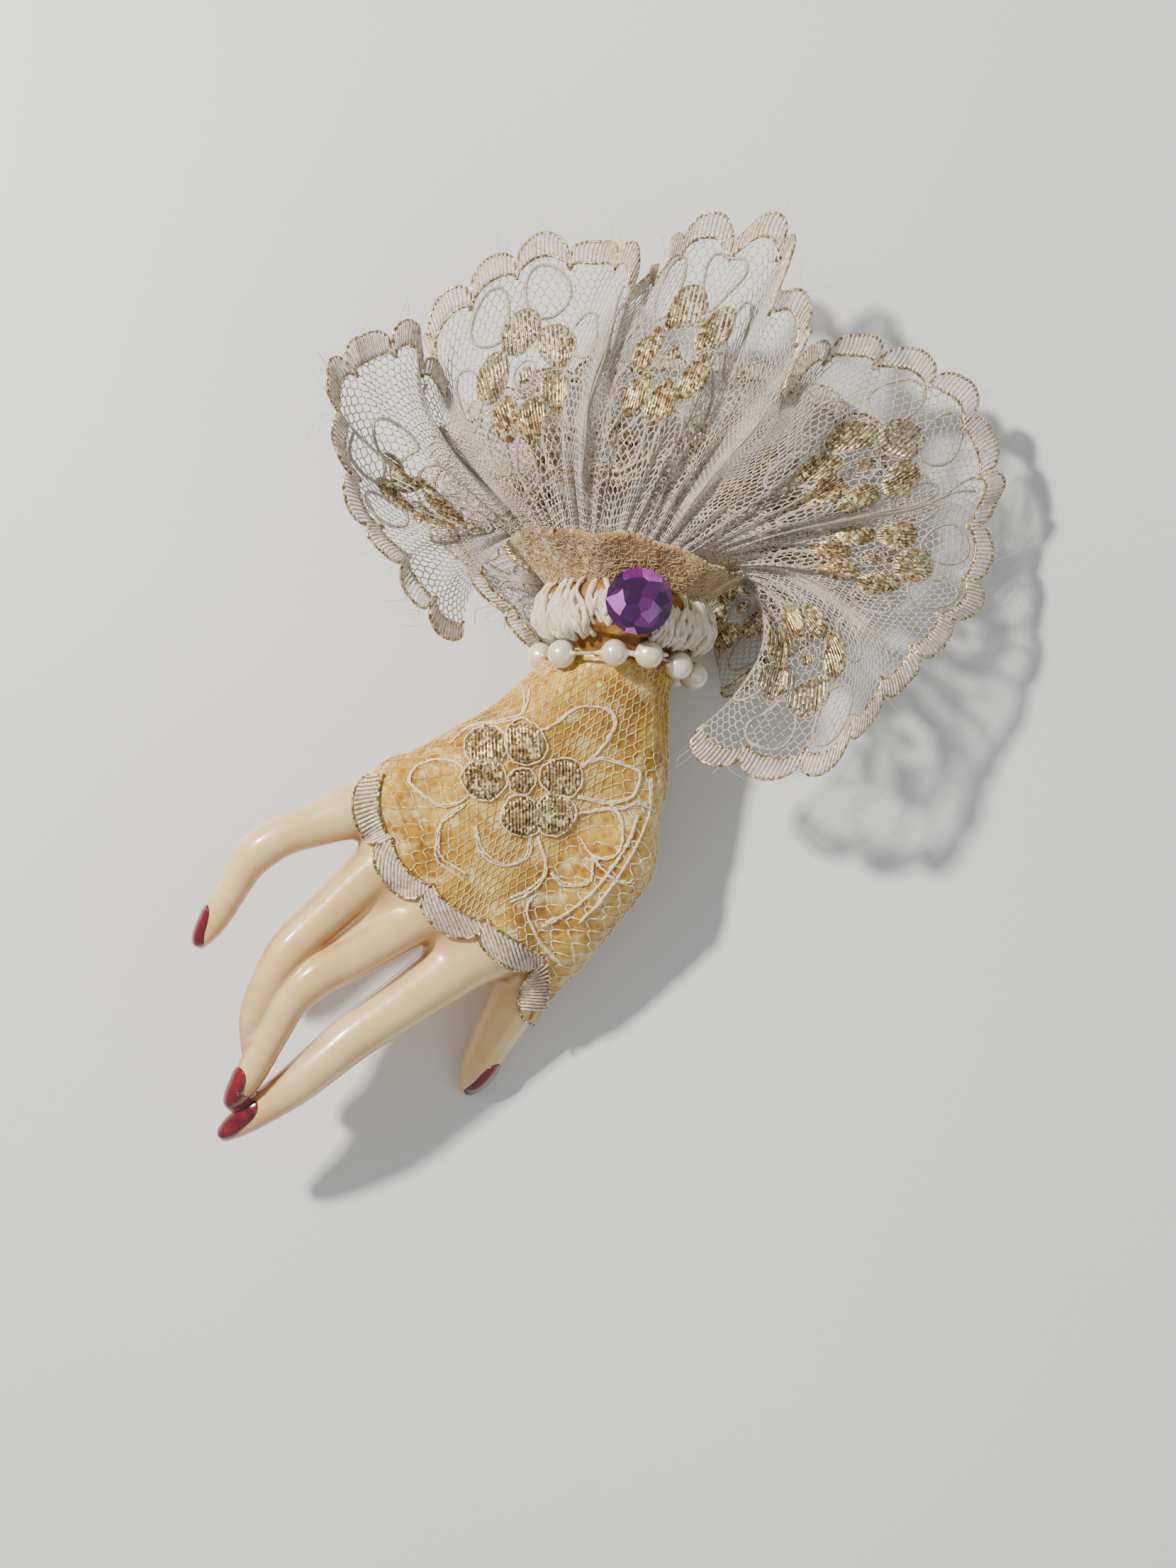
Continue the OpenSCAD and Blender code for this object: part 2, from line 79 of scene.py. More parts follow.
def linear(hex_colour):
    """An sRGB hex colour as linear red, green, blue and alpha."""
    value = np.array([int(hex_colour[i:i + 2], 16) for i in (1, 3, 5)]) / 255.0
    value = np.where(value <= 0.04045, value / 12.92, ((value + 0.055) / 1.055) ** 2.4)
    return (*[float(v) for v in value], 1.0)


# ---------------------------------------------------------------- settings


def length_setting(name, description, size):
    """A setting that is a length, with its default given in mm."""
    return FloatProperty(name=name, description=description, default=size * MM, min=0.0, subtype="DISTANCE",
                         unit="LENGTH", precision=5)


def colour_setting(name, description, hex_colour):
    """A setting that is a colour."""
    return FloatVectorProperty(name=name, description=description, default=linear(hex_colour)[:3], min=0.0,
                               max=1.0, subtype="COLOR")


class HandSettings(bpy.types.PropertyGroup):
    """Sizes and colours of the moulded hand."""

    grain: length_setting("Grain", "Spacing of the grid that the hand is worked out on", 0.25)
    web: length_setting("Web", "How far the fingers melt into the palm", 2.2)
    lacquer: length_setting("Lacquer", "Thickness of a nail's lacquer", 0.28)
    ivory: colour_setting("Ivory", "Colour of the moulded plastic", "#EACB90")
    red: colour_setting("Red", "Colour of the nail lacquer", "#760318")


class LaceSettings(bpy.types.PropertyGroup):
    """Sizes of the lace of the ruffle and the glove."""

    depth: length_setting("Depth", "Depth of the lace from its gathers to its edge", 34.0)
    cell: length_setting("Net cell", "Width of one cell of the net", 1.02)
    net_thread: length_setting("Net thread", "Radius of the net's thread", 0.07)
    cord_thread: length_setting("Cord", "Radius of the outlining cord", 0.17)
    scallop: length_setting("Scallop", "Width of one scallop of the border", 6.2)
    rib: length_setting("Rib", "Spacing of the satin ribs", 0.46)


class TrimSettings(bpy.types.PropertyGroup):
    """Sizes and colours of the heading and the stone."""

    stone: length_setting("Stone", "Diameter of the flat-back stone", 6.4)
    purple: colour_setting("Purple", "Colour of the stone's glass", "#5C1468")
    gathers: IntProperty(name="Gathers", description="Gathers round the heading", default=46, min=8, max=120)


def in_mm(settings):
    """A group's settings, with its lengths in mm."""
    values = {name: getattr(settings, name) for name in settings.__annotations__}
    for name in values:
        if settings.bl_rna.properties[name].unit == "LENGTH":
            values[name] = round(values[name] / MM, 4)
    return SimpleNamespace(**values)


# ---------------------------------------------------------------- mesh helpers


def smooth_step(x, low, high):
    """Goes smoothly from 0 at low to 1 at high: 3t^2 - 2t^3."""
    t = np.clip((x - low) / (high - low), 0.0, 1.0)
    return t * t * (3.0 - 2.0 * t)


def unit(v):
    """Each row of v over its own length."""
    return v / np.maximum(np.linalg.norm(v, axis=-1, keepdims=True), 1e-9)


def new_piece(name, points, faces, material, slot, attributes=None, smooth=True):
    """Makes a mesh object from points in mm and a list of equal-sided face arrays, and rides it on the
    brooch."""
    mesh = bpy.data.meshes.new(name)
    faces = [np.asarray(f, np.int32) for f in faces if len(f)]
    loops = np.concatenate([f.reshape(-1) for f in faces])
    totals = np.concatenate([np.full(len(f), f.shape[1], np.int32) for f in faces])
    starts = np.concatenate([[0], np.cumsum(totals)[:-1]]).astype(np.int32)
    mesh.vertices.add(len(points))
    mesh.vertices.foreach_set("co", (np.asarray(points, float) * MM).astype(np.float32).reshape(-1))
    mesh.loops.add(len(loops))
    mesh.loops.foreach_set("vertex_index", loops.astype(np.int32))
    mesh.polygons.add(len(totals))
    mesh.polygons.foreach_set("loop_start", starts)
    mesh.polygons.foreach_set("use_smooth", np.full(len(totals), smooth))
    for key, values in (attributes or {}).items():
        attribute = mesh.attributes.new(key, "FLOAT", "POINT")
        attribute.data.foreach_set("value", np.asarray(values, np.float32))
    mesh.update(calc_edges=True)
    mesh.validate()
    mesh.materials.append(material)
    piece = bpy.data.objects.new(name, mesh)
    bpy.context.scene.collection.objects.link(piece)
    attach(piece, BODY)
    return piece


def grid_faces(rows, columns, wrap_rows=False, wrap_columns=False):
    """Quads over a grid of rows x columns points, joined round the ends where asked."""
    i = np.arange(rows if wrap_rows else rows - 1)
    j = np.arange(columns if wrap_columns else columns - 1)
    i, j = np.meshgrid(i, j, indexing="ij")
    i1, j1 = (i + 1) % rows, (j + 1) % columns
    corners = [i * columns + j, i1 * columns + j, i1 * columns + j1, i * columns + j1]
    return np.stack(corners, -1).reshape(-1, 4)


def closed_sheet(outer, inner):
    """A closed sheet from two grids of points, with a wall round their edge. Returns the points and face
    arrays."""
    rows, columns, _ = outer.shape
    count = rows * columns
    quads = grid_faces(rows, columns)
    ids = np.arange(count).reshape(rows, columns)
    rim = np.concatenate([ids[0], ids[1:, -1], ids[-1, -2::-1], ids[-2:0:-1, 0]])
    after = np.roll(rim, -1)
    wall = np.stack([rim + count, after + count, after, rim], -1)
    points = np.concatenate([outer.reshape(-1, 3), inner.reshape(-1, 3)])
    return points, [np.concatenate([quads[:, ::-1], quads + count, wall])]


def tubes(paths, normals, radius, sides):
    """Closed tubes along many paths at once: paths is strands x points x 3, and a point's ring is its
    centre plus radius * (cos q * normal + sin q * side), with q once round. radius is one number or strands
    x points."""
    count, length, _ = paths.shape
    along = unit(np.gradient(paths, axis=1))
    normals = unit(normals - (normals * along).sum(-1, keepdims=True) * along)
    side = np.cross(along, normals)
    q = np.arange(sides) * 2.0 * math.pi / sides
    radius = np.broadcast_to(np.asarray(radius, float), (count, length))[..., None, None]
    ring = np.cos(q)[:, None] * normals[:, :, None, :] + np.sin(q)[:, None] * side[:, :, None, :]
    points = (paths[:, :, None, :] + radius * ring).reshape(-1, 3)
    base = (np.arange(count) * length * sides)[:, None, None]
    k = (np.arange(length - 1) * sides)[None, :, None]
    s = np.arange(sides)[None, None, :]
    s1 = (s + 1) % sides
    below = base + k
    walls = np.stack([below + s, below + s1, below + sides + s1, below + sides + s], -1).reshape(-1, 4)
    first = (base[:, 0, :] + np.arange(sides)[None, ::-1]).reshape(-1, sides)
    last = (base[:, 0, :] + (length - 1) * sides + np.arange(sides)[None, :]).reshape(-1, sides)
    return points, [walls, first, last]


def join_parts(parts):
    """Joins (points, face arrays) parts into one, grouping faces by their number of sides."""
    points, groups, start = [], {}, 0
    for part_points, part_faces in parts:
        points.append(part_points)
        for faces in part_faces:
            if len(faces):
                groups.setdefault(faces.shape[1], []).append(faces + start)
        start += len(part_points)
    return np.concatenate(points), [np.concatenate(g) for g in groups.values()]


def resample(line, count):
    """count points evenly spaced along a line of points."""
    line = np.asarray(line, float)
    run = np.concatenate([[0.0], np.cumsum(np.linalg.norm(np.diff(line, axis=0), axis=1))])
    at = np.linspace(0.0, run[-1], count)
    return np.stack([np.interp(at, run, line[:, c]) for c in range(line.shape[1])], -1)


def spline(points, per_span):
    """A Catmull-Rom curve through the points, per_span points to a span."""
    p = np.asarray(points, float)
    p = np.concatenate([[2 * p[0] - p[1]], p, [2 * p[-1] - p[-2]]])
    t = (np.arange(per_span) / per_span)[None, :, None]
    a, b, c, d = p[:-3, None], p[1:-2, None], p[2:-1, None], p[3:, None]
    curve = 0.5 * (2 * b + (c - a) * t + (2 * a - 5 * b + 4 * c - d) * t**2 + (3 * b - a - 3 * c + d) * t**3)
    return np.concatenate([curve.reshape(-1, p.shape[1]), p[-2:-1]])


# ---------------------------------------------------------------- materials

COORDINATES = "ShaderNodeTexCoord"
TURN = "ShaderNodeMapping"
NOISE = "ShaderNodeTexNoise"
CELLS = "ShaderNodeTexVoronoi"
RAMP = "ShaderNodeValToRGB"
RANGE = "ShaderNodeMapRange"
MIX = "ShaderNodeMix"
BUMP = "ShaderNodeBump"
COLOURS = {"data_type": "RGBA"}


def per_mm(count):
    """The scale of a texture with so many features to a millimetre, for places in metres."""
    return count / MM


def dress(tree, node, **inputs):
    """Sets a node's inputs, or links one where a socket is given. An input goes by its name with _ for a
    space, or by _ and its number."""
    for key, value in inputs.items():
        socket = node.inputs[int(key[1:])] if key[0] == "_" else node.inputs[key.replace("_", " ")]
        if isinstance(value, bpy.types.NodeSocket):
            tree.links.new(value, socket)
        else:
            socket.default_value = value


def add_node(tree, kind, out, settings=(), stops=(), **inputs):
    """Adds a node with its settings, its (place, colour) stops and its inputs, and returns its output out."""
    node = tree.nodes.new(kind)
    for key, value in dict(settings).items():
        setattr(node, key, value)
    if stops:
        elements = node.color_ramp.elements
        while len(elements) < len(stops):
            elements.new(0.5)
        for element, (place, colour) in zip(elements, stops):
            element.position = place
            element.color = linear(colour) if isinstance(colour, str) else (*colour, 1.0)
    dress(tree, node, **inputs)
    return node.outputs[out]


def new_material(name):
    """A material with a Principled shader on its output. Returns it, its tree, the shader and the Object
    coordinates."""
    material = bpy.data.materials.new(name)
    material.use_nodes = True
    tree = material.node_tree
    tree.nodes.clear()
    shader = tree.nodes.new("ShaderNodeBsdfPrincipled")
    output = tree.nodes.new("ShaderNodeOutputMaterial")
    tree.links.new(shader.outputs["BSDF"], output.inputs["Surface"])
    return material, tree, shader, add_node(tree, COORDINATES, "Object")


def ivory_plastic(ivory):
    """Injection-moulded plastic like old celluloid: glossy and waxy. Painted shade: a mottled tan-brown in the
    creases between the fingers and on sides that do not face up."""
    material, tree, shader, at = new_material("ivory_plastic")
    # Painted shade: a per-point attribute, high in the creases between the fingers and on sides that do not face
    # up, mixes in a mottled tan-brown.
    painted_shade = add_node(tree, "ShaderNodeAttribute", "Fac", {"attribute_name": "painted_shade"})
    cloud = add_node(tree, NOISE, "Fac", Vector=at, Scale=per_mm(0.16), Detail=4.0)
    body = add_node(tree, RAMP, "Color", Fac=cloud,
                    stops=[(0.30, "#DDB673"), (0.55, ivory), (0.75, "#E2BF80")])
    shade_mottle = add_node(tree, NOISE, "Fac", Vector=at, Scale=per_mm(0.42), Detail=5.0)
    shade_brown = add_node(tree, RAMP, "Color", stops=[(0.35, "#9A5524"), (0.7, "#B87440")], Fac=shade_mottle)
    base = add_node(tree, MIX, 2, COLOURS, _0=painted_shade, _6=body, _7=shade_brown)
    dust = add_node(tree, NOISE, "Fac", Vector=at, Scale=per_mm(1.9), Detail=2.0)
    specks = add_node(tree, RANGE, "Result", Value=dust, From_Min=0.74, From_Max=0.79)
    wear = add_node(tree, NOISE, "Fac", Vector=at, Scale=per_mm(0.9), Detail=3.0)
    ripple = add_node(tree, NOISE, "Fac", Vector=at, Scale=per_mm(0.7), Detail=3.0)
    dress(tree, shader, IOR=1.5, Coat_Weight=0.35, Coat_Roughness=0.12,
          Base_Color=add_node(tree, MIX, 2, COLOURS, _0=specks, _6=base, _7=linear("#B99A6B")),
          Roughness=add_node(tree, RANGE, "Result", Value=wear, To_Min=0.24, To_Max=0.36),
          Subsurface_Weight=0.25, Subsurface_Radius=(1.0, 0.55, 0.28), Subsurface_Scale=0.0018,
          Normal=add_node(tree, BUMP, "Normal", Height=ripple, Strength=0.10, Distance=0.12 * MM))
    return material


def nail_varnish(red):
    """Brushed-on nail lacquer: deep red and glossy, streaked along the brush."""
    material, tree, shader, at = new_material("nail_lacquer")
    streak = add_node(tree, NOISE, "Fac", Vector=at, Scale=per_mm(0.9), Detail=4.0)
    ripple = add_node(tree, NOISE, "Fac", Vector=at, Scale=per_mm(1.5), Detail=3.0)
    dress(tree, shader, Roughness=0.16, Coat_Weight=0.8, Coat_Roughness=0.06, Specular_IOR_Level=0.6,
          Base_Color=add_node(tree, RAMP, "Color", stops=[(0.3, "#42020E"), (0.6, red), (0.8, "#96061E")],
                              Fac=streak),
          Normal=add_node(tree, BUMP, "Normal", Height=ripple, Strength=0.25, Distance=0.06 * MM))
    return material


def amber_glue():
    """Old fabric glue soaked through net: mottled amber, glossy, and mounded in each cell of the net."""
    material, tree, shader, at = new_material("amber_glue")
    cells = add_node(tree, CELLS, "Distance", Vector=at, Scale=per_mm(1.15))
    cloud = add_node(tree, NOISE, "Fac", Vector=at, Scale=per_mm(0.19), Detail=4.0)
    blotch = add_node(tree, RAMP, "Color", Fac=cloud,
                      stops=[(0.30, "#8C6208"), (0.44, "#BC8A1C"), (0.56, "#D3A838"), (0.72, "#E2C468")])
    dry = add_node(tree, NOISE, "Fac", Vector=at, Scale=per_mm(0.52), Detail=5.0)
    pale = add_node(tree, RANGE, "Result", Value=dry, From_Min=0.52, From_Max=0.70)
    base = add_node(tree, MIX, 2, COLOURS, _0=pale, _6=blotch, _7=linear("#EBD898"))
    deep = add_node(tree, RANGE, "Result", Value=cells, From_Min=0.12, From_Max=0.55)
    darker = add_node(tree, MIX, 2, {**COLOURS, "blend_type": "MULTIPLY"},
                      _0=1.0, _6=base, _7=linear("#D8B466"))
    wear = add_node(tree, NOISE, "Fac", Vector=at, Scale=per_mm(0.6), Detail=3.0)
    grit = add_node(tree, NOISE, "Fac", Vector=at, Scale=per_mm(1.4), Detail=4.0)
    mound = add_node(tree, MIX, 2, COLOURS, _0=0.5, _6=cells, _7=grit)
    dress(tree, shader, IOR=1.5,
          Base_Color=add_node(tree, MIX, 2, COLOURS, _0=deep, _6=darker, _7=base),
          Roughness=add_node(tree, RANGE, "Result", Value=wear, To_Min=0.22, To_Max=0.50),
          Subsurface_Weight=0.2, Subsurface_Radius=(1.0, 0.5, 0.15), Subsurface_Scale=0.0012,
          Normal=add_node(tree, BUMP, "Normal", Height=mound, Strength=0.7, Distance=0.22 * MM))
    return material


def cotton_net():
    """Fine cotton bobbinet thread: off-white, matt, faintly fuzzy."""
    material, tree, shader, at = new_material("net_thread")
    cloud = add_node(tree, NOISE, "Fac", Vector=at, Scale=per_mm(0.26), Detail=4.0)
    dress(tree, shader, Roughness=0.62, Sheen_Weight=0.35, Sheen_Roughness=0.4,
          Base_Color=add_node(tree, RAMP, "Color", Fac=cloud,
                              stops=[(0.3, "#B9AF9C"), (0.55, "#D2CABA"), (0.8, "#E4DED0")]))
    return material


def glued_net_thread():
    """The same net soaked in glue: creamier and a little glossy, and whiter on the thumb's side, where it
    is dry."""
    material, tree, shader, at = new_material("glued_net_thread")
    turned = add_node(tree, TURN, "Vector", Vector=at, Rotation=(0.0, 0.0, 0.75))
    across = add_node(tree, "ShaderNodeSeparateXYZ", "X", Vector=turned)
    dry = add_node(tree, RANGE, "Result", Value=across, From_Min=4.0 * MM, From_Max=11.0 * MM)
    cloud = add_node(tree, NOISE, "Fac", Vector=at, Scale=per_mm(0.42), Detail=4.0)
    soaked = add_node(tree, RAMP, "Color", Fac=cloud,
                      stops=[(0.3, "#B98F36"), (0.5, "#DCBC6C"), (0.75, "#EEDDA4")])
    dress(tree, shader, Roughness=0.42, Sheen_Weight=0.2,
          Base_Color=add_node(tree, MIX, 2, COLOURS, _0=dry, _6=soaked, _7=linear("#EADFC6")))
    return material


def outline_cord():
    """Soft twisted outlining cord: greyed cream, with the twist as fine ridges."""
    material, tree, shader, at = new_material("outline_cord")
    fuzz = add_node(tree, NOISE, "Fac", Vector=at, Scale=per_mm(3.2), Detail=4.0)
    dress(tree, shader, Roughness=0.7, Sheen_Weight=0.5, Sheen_Roughness=0.35,
          Base_Color=add_node(tree, RAMP, "Color", Fac=fuzz,
                              stops=[(0.3, "#94877A"), (0.6, "#BDAF9A"), (0.85, "#D8CCB6")]),
          Normal=add_node(tree, BUMP, "Normal", Height=fuzz, Strength=0.5, Distance=0.08 * MM))
    return material


def glued_cord():
    """The glove's outlining cord, flattened and soaked: creamy and rough, with glue between its plies."""
    material, tree, shader, at = new_material("glued_cord")
    fuzz = add_node(tree, NOISE, "Fac", Vector=at, Scale=per_mm(2.6), Detail=4.0)
    dress(tree, shader, Roughness=0.55, Sheen_Weight=0.3, Sheen_Roughness=0.4,
          Base_Color=add_node(tree, RAMP, "Color", Fac=fuzz,
                              stops=[(0.3, "#C9AC74"), (0.5, "#EADCBA"), (0.75, "#F8F1DE")]),
          Normal=add_node(tree, BUMP, "Normal", Height=fuzz, Strength=0.7, Distance=0.1 * MM))
    return material


def metal_thread():
    """Metallised gimp, flat strip wound on thread: brown-gold, with painted glints: random cells of the colour go
    up to near white, whichever way they face."""
    material, tree, shader, at = new_material("metallic_thread")
    facets = add_node(tree, CELLS, "Color", Vector=at, Scale=per_mm(3.6))
    # Painted glints: the same random cells set the colour, up to near white, and also vary the roughness and tilt
    # the normal.
    dress(tree, shader, Metallic=0.5,
          Base_Color=add_node(tree, RAMP, "Color", Fac=facets,
                              stops=[(0.2, "#705A3A"), (0.42, "#A3865A"), (0.62, "#CDB078"),
                                     (0.82, "#FFF8D0")]),
          Roughness=add_node(tree, RANGE, "Result", Value=facets, To_Min=0.16, To_Max=0.45),
          Normal=add_node(tree, BUMP, "Normal", Height=facets, Strength=0.9, Distance=0.10 * MM))
    return material


def satin_stitch():
    """Viscose satin stitch with a metallic filament: silvery beige, with painted sheen: random paler streaks in
    the colour, which also ripple the surface.
    """
    material, tree, shader, at = new_material("satin_stitch")
    streak = add_node(tree, NOISE, "Fac", Vector=at, Scale=per_mm(2.4), Detail=3.0)
    # Painted sheen: the paler streaks of the colour stand in for the satin's sheen.
    dress(tree, shader, Roughness=0.36, Metallic=0.05, Sheen_Weight=0.3,
          Base_Color=add_node(tree, RAMP, "Color", Fac=streak,
                              stops=[(0.3, "#B09A80"), (0.5, "#D8C5AC"), (0.75, "#F6EAD6")]),
          Normal=add_node(tree, BUMP, "Normal", Height=streak, Strength=0.4, Distance=0.06 * MM))
    return material


def felted_net():
    """Fuzzy net stiff with old glue: tan, blotched, with matted fibres."""
    material, tree, shader, at = new_material("glued_cuff_net")
    cloud = add_node(tree, NOISE, "Fac", Vector=at, Scale=per_mm(0.24), Detail=4.0)
    blotch = add_node(tree, RAMP, "Color", Fac=cloud,
                      stops=[(0.30, "#6E4512"), (0.48, "#93651F"), (0.62, "#AD8340"), (0.78, "#C19F64")])
    lint = add_node(tree, NOISE, "Fac", Vector=at, Scale=per_mm(1.5), Detail=5.0)
    pale = add_node(tree, RANGE, "Result", Value=lint, From_Min=0.55, From_Max=0.68)
    matting = add_node(tree, NOISE, "Fac", Vector=at, Scale=per_mm(2.3), Detail=5.0)
    dress(tree, shader, Roughness=0.75, Sheen_Weight=0.6, Sheen_Roughness=0.5,
          Base_Color=add_node(tree, MIX, 2, COLOURS, _0=pale, _6=blotch, _7=linear("#CDB078")),
          Normal=add_node(tree, BUMP, "Normal", Height=matting, Strength=0.8, Distance=0.2 * MM))
    return material


def loose_fibre():
    """Loose cotton and nylon fibre ends: pale tan, thin and matt."""
    material, tree, shader, at = new_material("loose_fibre")
    cloud = add_node(tree, NOISE, "Fac", Vector=at, Scale=per_mm(0.9), Detail=2.0)
    dress(tree, shader, Roughness=0.65, Sheen_Weight=0.3,
          Base_Color=add_node(tree, RAMP, "Color", Fac=cloud,
                              stops=[(0.3, "#B99A63"), (0.55, "#D3BB8C"), (0.75, "#E9DDC0")]))
    return material


def gathered_cotton():
    """Soft white cotton yarn, gathered, with its loose fibres lying along the gathers."""
    material, tree, shader, at = new_material("gathered_cotton")
    drawn = add_node(tree, TURN, "Vector", Vector=at, Scale=(1.0, 0.22, 1.0))
    fibre = add_node(tree, NOISE, "Fac", Vector=drawn, Scale=per_mm(3.0), Detail=4.0)
    dress(tree, shader, Roughness=0.75, Sheen_Weight=0.4,
          Base_Color=add_node(tree, RAMP, "Color", Fac=fibre,
                              stops=[(0.3, "#B7A57F"), (0.5, "#DDD3BA"), (0.8, "#F0EAD8")]),
          Normal=add_node(tree, BUMP, "Normal", Height=fibre, Strength=0.7, Distance=0.14 * MM))
    return material


def browned_glue():
    """Browned glue that has crept up the wrist and caught dust: dark amber, with an uneven gloss. On the ring
    round the wrist it is also painted shade between the heading and the pearls.
    """
    material, tree, shader, at = new_material("browned_glue")
    cloud = add_node(tree, NOISE, "Fac", Vector=at, Scale=per_mm(0.52), Detail=4.0)
    wear = add_node(tree, NOISE, "Fac", Vector=at, Scale=per_mm(0.8), Detail=3.0)
    grit = add_node(tree, NOISE, "Fac", Vector=at, Scale=per_mm(1.5), Detail=4.0)
    dress(tree, shader,
          Base_Color=add_node(tree, RAMP, "Color", Fac=cloud,
                              stops=[(0.3, "#5E3A0E"), (0.5, "#8A5C1C"), (0.72, "#B08440")]),
          Roughness=add_node(tree, RANGE, "Result", Value=wear, To_Min=0.45, To_Max=0.75),
          Normal=add_node(tree, BUMP, "Normal", Height=grit, Strength=0.7, Distance=0.2 * MM))
    return material


def hard_glue():
    """Hard, yellowed craft glue: glassy, with a slightly lumpy skin."""
    material, tree, shader, at = new_material("hard_glue")
    cloud = add_node(tree, NOISE, "Fac", Vector=at, Scale=per_mm(0.5), Detail=3.0)
    lumps = add_node(tree, NOISE, "Fac", Vector=at, Scale=per_mm(1.2), Detail=3.0)
    dress(tree, shader, Roughness=0.2, Transmission_Weight=0.3,
          Base_Color=add_node(tree, RAMP, "Color", stops=[(0.3, "#B98F4C"), (0.7, "#DDBE83")], Fac=cloud),
          Normal=add_node(tree, BUMP, "Normal", Height=lumps, Strength=0.3, Distance=0.1 * MM))
    return material


def pearl_coat():
    """Imitation pearl, a nacre coat over glass: warm white with a soft deep gloss."""
    material, tree, shader, at = new_material("pearl_coat")
    cloud = add_node(tree, NOISE, "Fac", Vector=at, Scale=per_mm(0.5), Detail=2.0)
    ripple = add_node(tree, NOISE, "Fac", Vector=at, Scale=per_mm(1.5), Detail=2.0)
    dress(tree, shader, Roughness=0.3, Metallic=0.25, Coat_Weight=1.0, Coat_Roughness=0.05,
          Base_Color=add_node(tree, RAMP, "Color", stops=[(0.3, "#DDD0B2"), (0.7, "#EFE6D0")], Fac=cloud),
          Normal=add_node(tree, BUMP, "Normal", Height=ripple, Strength=0.06, Distance=0.05 * MM))
    return material


def foiled_glass(purple):
    """Moulded purple glass over foil: deep violet, with painted light and shade: random cells of the colour run
    from dark violet to bright pink across the crisp facets.
    """
    material, tree, shader, at = new_material("purple_glass")
    # Painted light and shade: random cells from dark violet to bright pink, not the light the facets catch.
    painted_facet_light = add_node(tree, CELLS, "Color", Vector=at, Scale=per_mm(0.62))
    dress(tree, shader, Roughness=0.08, IOR=1.56, Metallic=0.45, Coat_Weight=1.0, Coat_Roughness=0.02,
          Base_Color=add_node(tree, RAMP, "Color", Fac=painted_facet_light,
                              stops=[(0.25, "#33083C"), (0.5, purple), (0.7, "#86248E"), (0.88, "#EE86E4")]))
    return material


def lacquered_foil():
    """Mirror foil on the back of the stone, lacquered violet."""
    material, tree, shader, at = new_material("stone_foil")
    cloud = add_node(tree, NOISE, "Fac", Vector=at, Scale=per_mm(0.9), Detail=2.0)
    dress(tree, shader, Metallic=1.0, Roughness=0.12,
          Base_Color=add_node(tree, RAMP, "Color", stops=[(0.3, "#B98AD0"), (0.7, "#D9B6E8")], Fac=cloud))
    return material


def nickel_plate():
    """Nickel-plated pressed steel: bright, with fine rolling lines and a few dull spots."""
    material, tree, shader, at = new_material("nickel_plate")
    drawn = add_node(tree, TURN, "Vector", Vector=at, Scale=(0.05, 1.0, 1.0))
    lines = add_node(tree, NOISE, "Fac", Vector=drawn, Scale=per_mm(9.0), Detail=3.0)
    spots = add_node(tree, NOISE, "Fac", Vector=at, Scale=per_mm(0.7), Detail=5.0)
    dress(tree, shader, Metallic=1.0,
          Base_Color=add_node(tree, RAMP, "Color", Fac=spots,
                              stops=[(0.25, "#9A9184"), (0.45, "#C2BFB8"), (0.8, "#D6D4CE")]),
          Roughness=add_node(tree, RANGE, "Result", Value=lines, To_Min=0.20, To_Max=0.42),
          Normal=add_node(tree, BUMP, "Normal", Height=lines, Strength=0.15, Distance=0.02 * MM))
    return material


def gilt_brass():
    """Pale gilt brass of the roll-over lock: warm, a little dulled by handling."""
    material, tree, shader, at = new_material("gilt_brass")
    tarnish = add_node(tree, NOISE, "Fac", Vector=at, Scale=per_mm(0.9), Detail=5.0)
    grain = add_node(tree, NOISE, "Fac", Vector=at, Scale=per_mm(5.0), Detail=3.0)
    dress(tree, shader, Metallic=1.0,
          Base_Color=add_node(tree, RAMP, "Color", Fac=tarnish,
                              stops=[(0.3, "#9B7F4A"), (0.55, "#C9B07A"), (0.8, "#DCCB9C")]),
          Roughness=add_node(tree, RANGE, "Result", Value=grain, To_Min=0.22, To_Max=0.38))
    return material


def drawn_steel():
    """Hard-drawn steel wire, polished: bright, with drawing lines along it."""
    material, tree, shader, at = new_material("drawn_steel")
    drawn = add_node(tree, TURN, "Vector", Vector=at, Scale=(0.04, 1.0, 1.0))
    lines = add_node(tree, NOISE, "Fac", Vector=drawn, Scale=per_mm(12.0), Detail=2.0)
    dress(tree, shader, Metallic=1.0,
          Base_Color=add_node(tree, RAMP, "Color", stops=[(0.3, "#A9A8A6"), (0.7, "#D9D8D4")], Fac=lines),
          Roughness=add_node(tree, RANGE, "Result", Value=lines, To_Min=0.12, To_Max=0.3))
    return material


# ---------------------------------------------------------------- the hand's field


class Grid:
    """A box of evenly spaced points in mm, and what is worked out on it."""

    def __init__(self, low, high, step):
        self.low = np.array(low, np.float32)
        self.step = step
        self.shape = tuple(int(math.ceil((h - l) / step)) + 1 for l, h in zip(low, high))
        self.axes = [self.low[i] + step * np.arange(self.shape[i], dtype=np.float32) for i in range(3)]

    def window(self, low, high):
        """Slices of the grid that hold the box from low to high."""
        return tuple(
            slice(max(0, int((low[i] - self.low[i]) / self.step)),
                  min(self.shape[i], int((high[i] - self.low[i]) / self.step) + 2))
            for i in range(3)
        )

    def sample(self, field, points):
        """The field at any points, by trilinear interpolation."""
        at = (points - self.low) / self.step
        at = np.clip(at, 0.0, np.array(self.shape) - 1.001)
        i = at.astype(int)
        f = at - i
        total = 0.0
        for corner in range(8):
            o = [(corner >> n) & 1 for n in range(3)]
            weight = np.prod([f[..., n] if o[n] else 1.0 - f[..., n] for n in range(3)], axis=0)
            total = total + weight * field[i[..., 0] + o[0], i[..., 1] + o[1], i[..., 2] + o[2]]
        return total


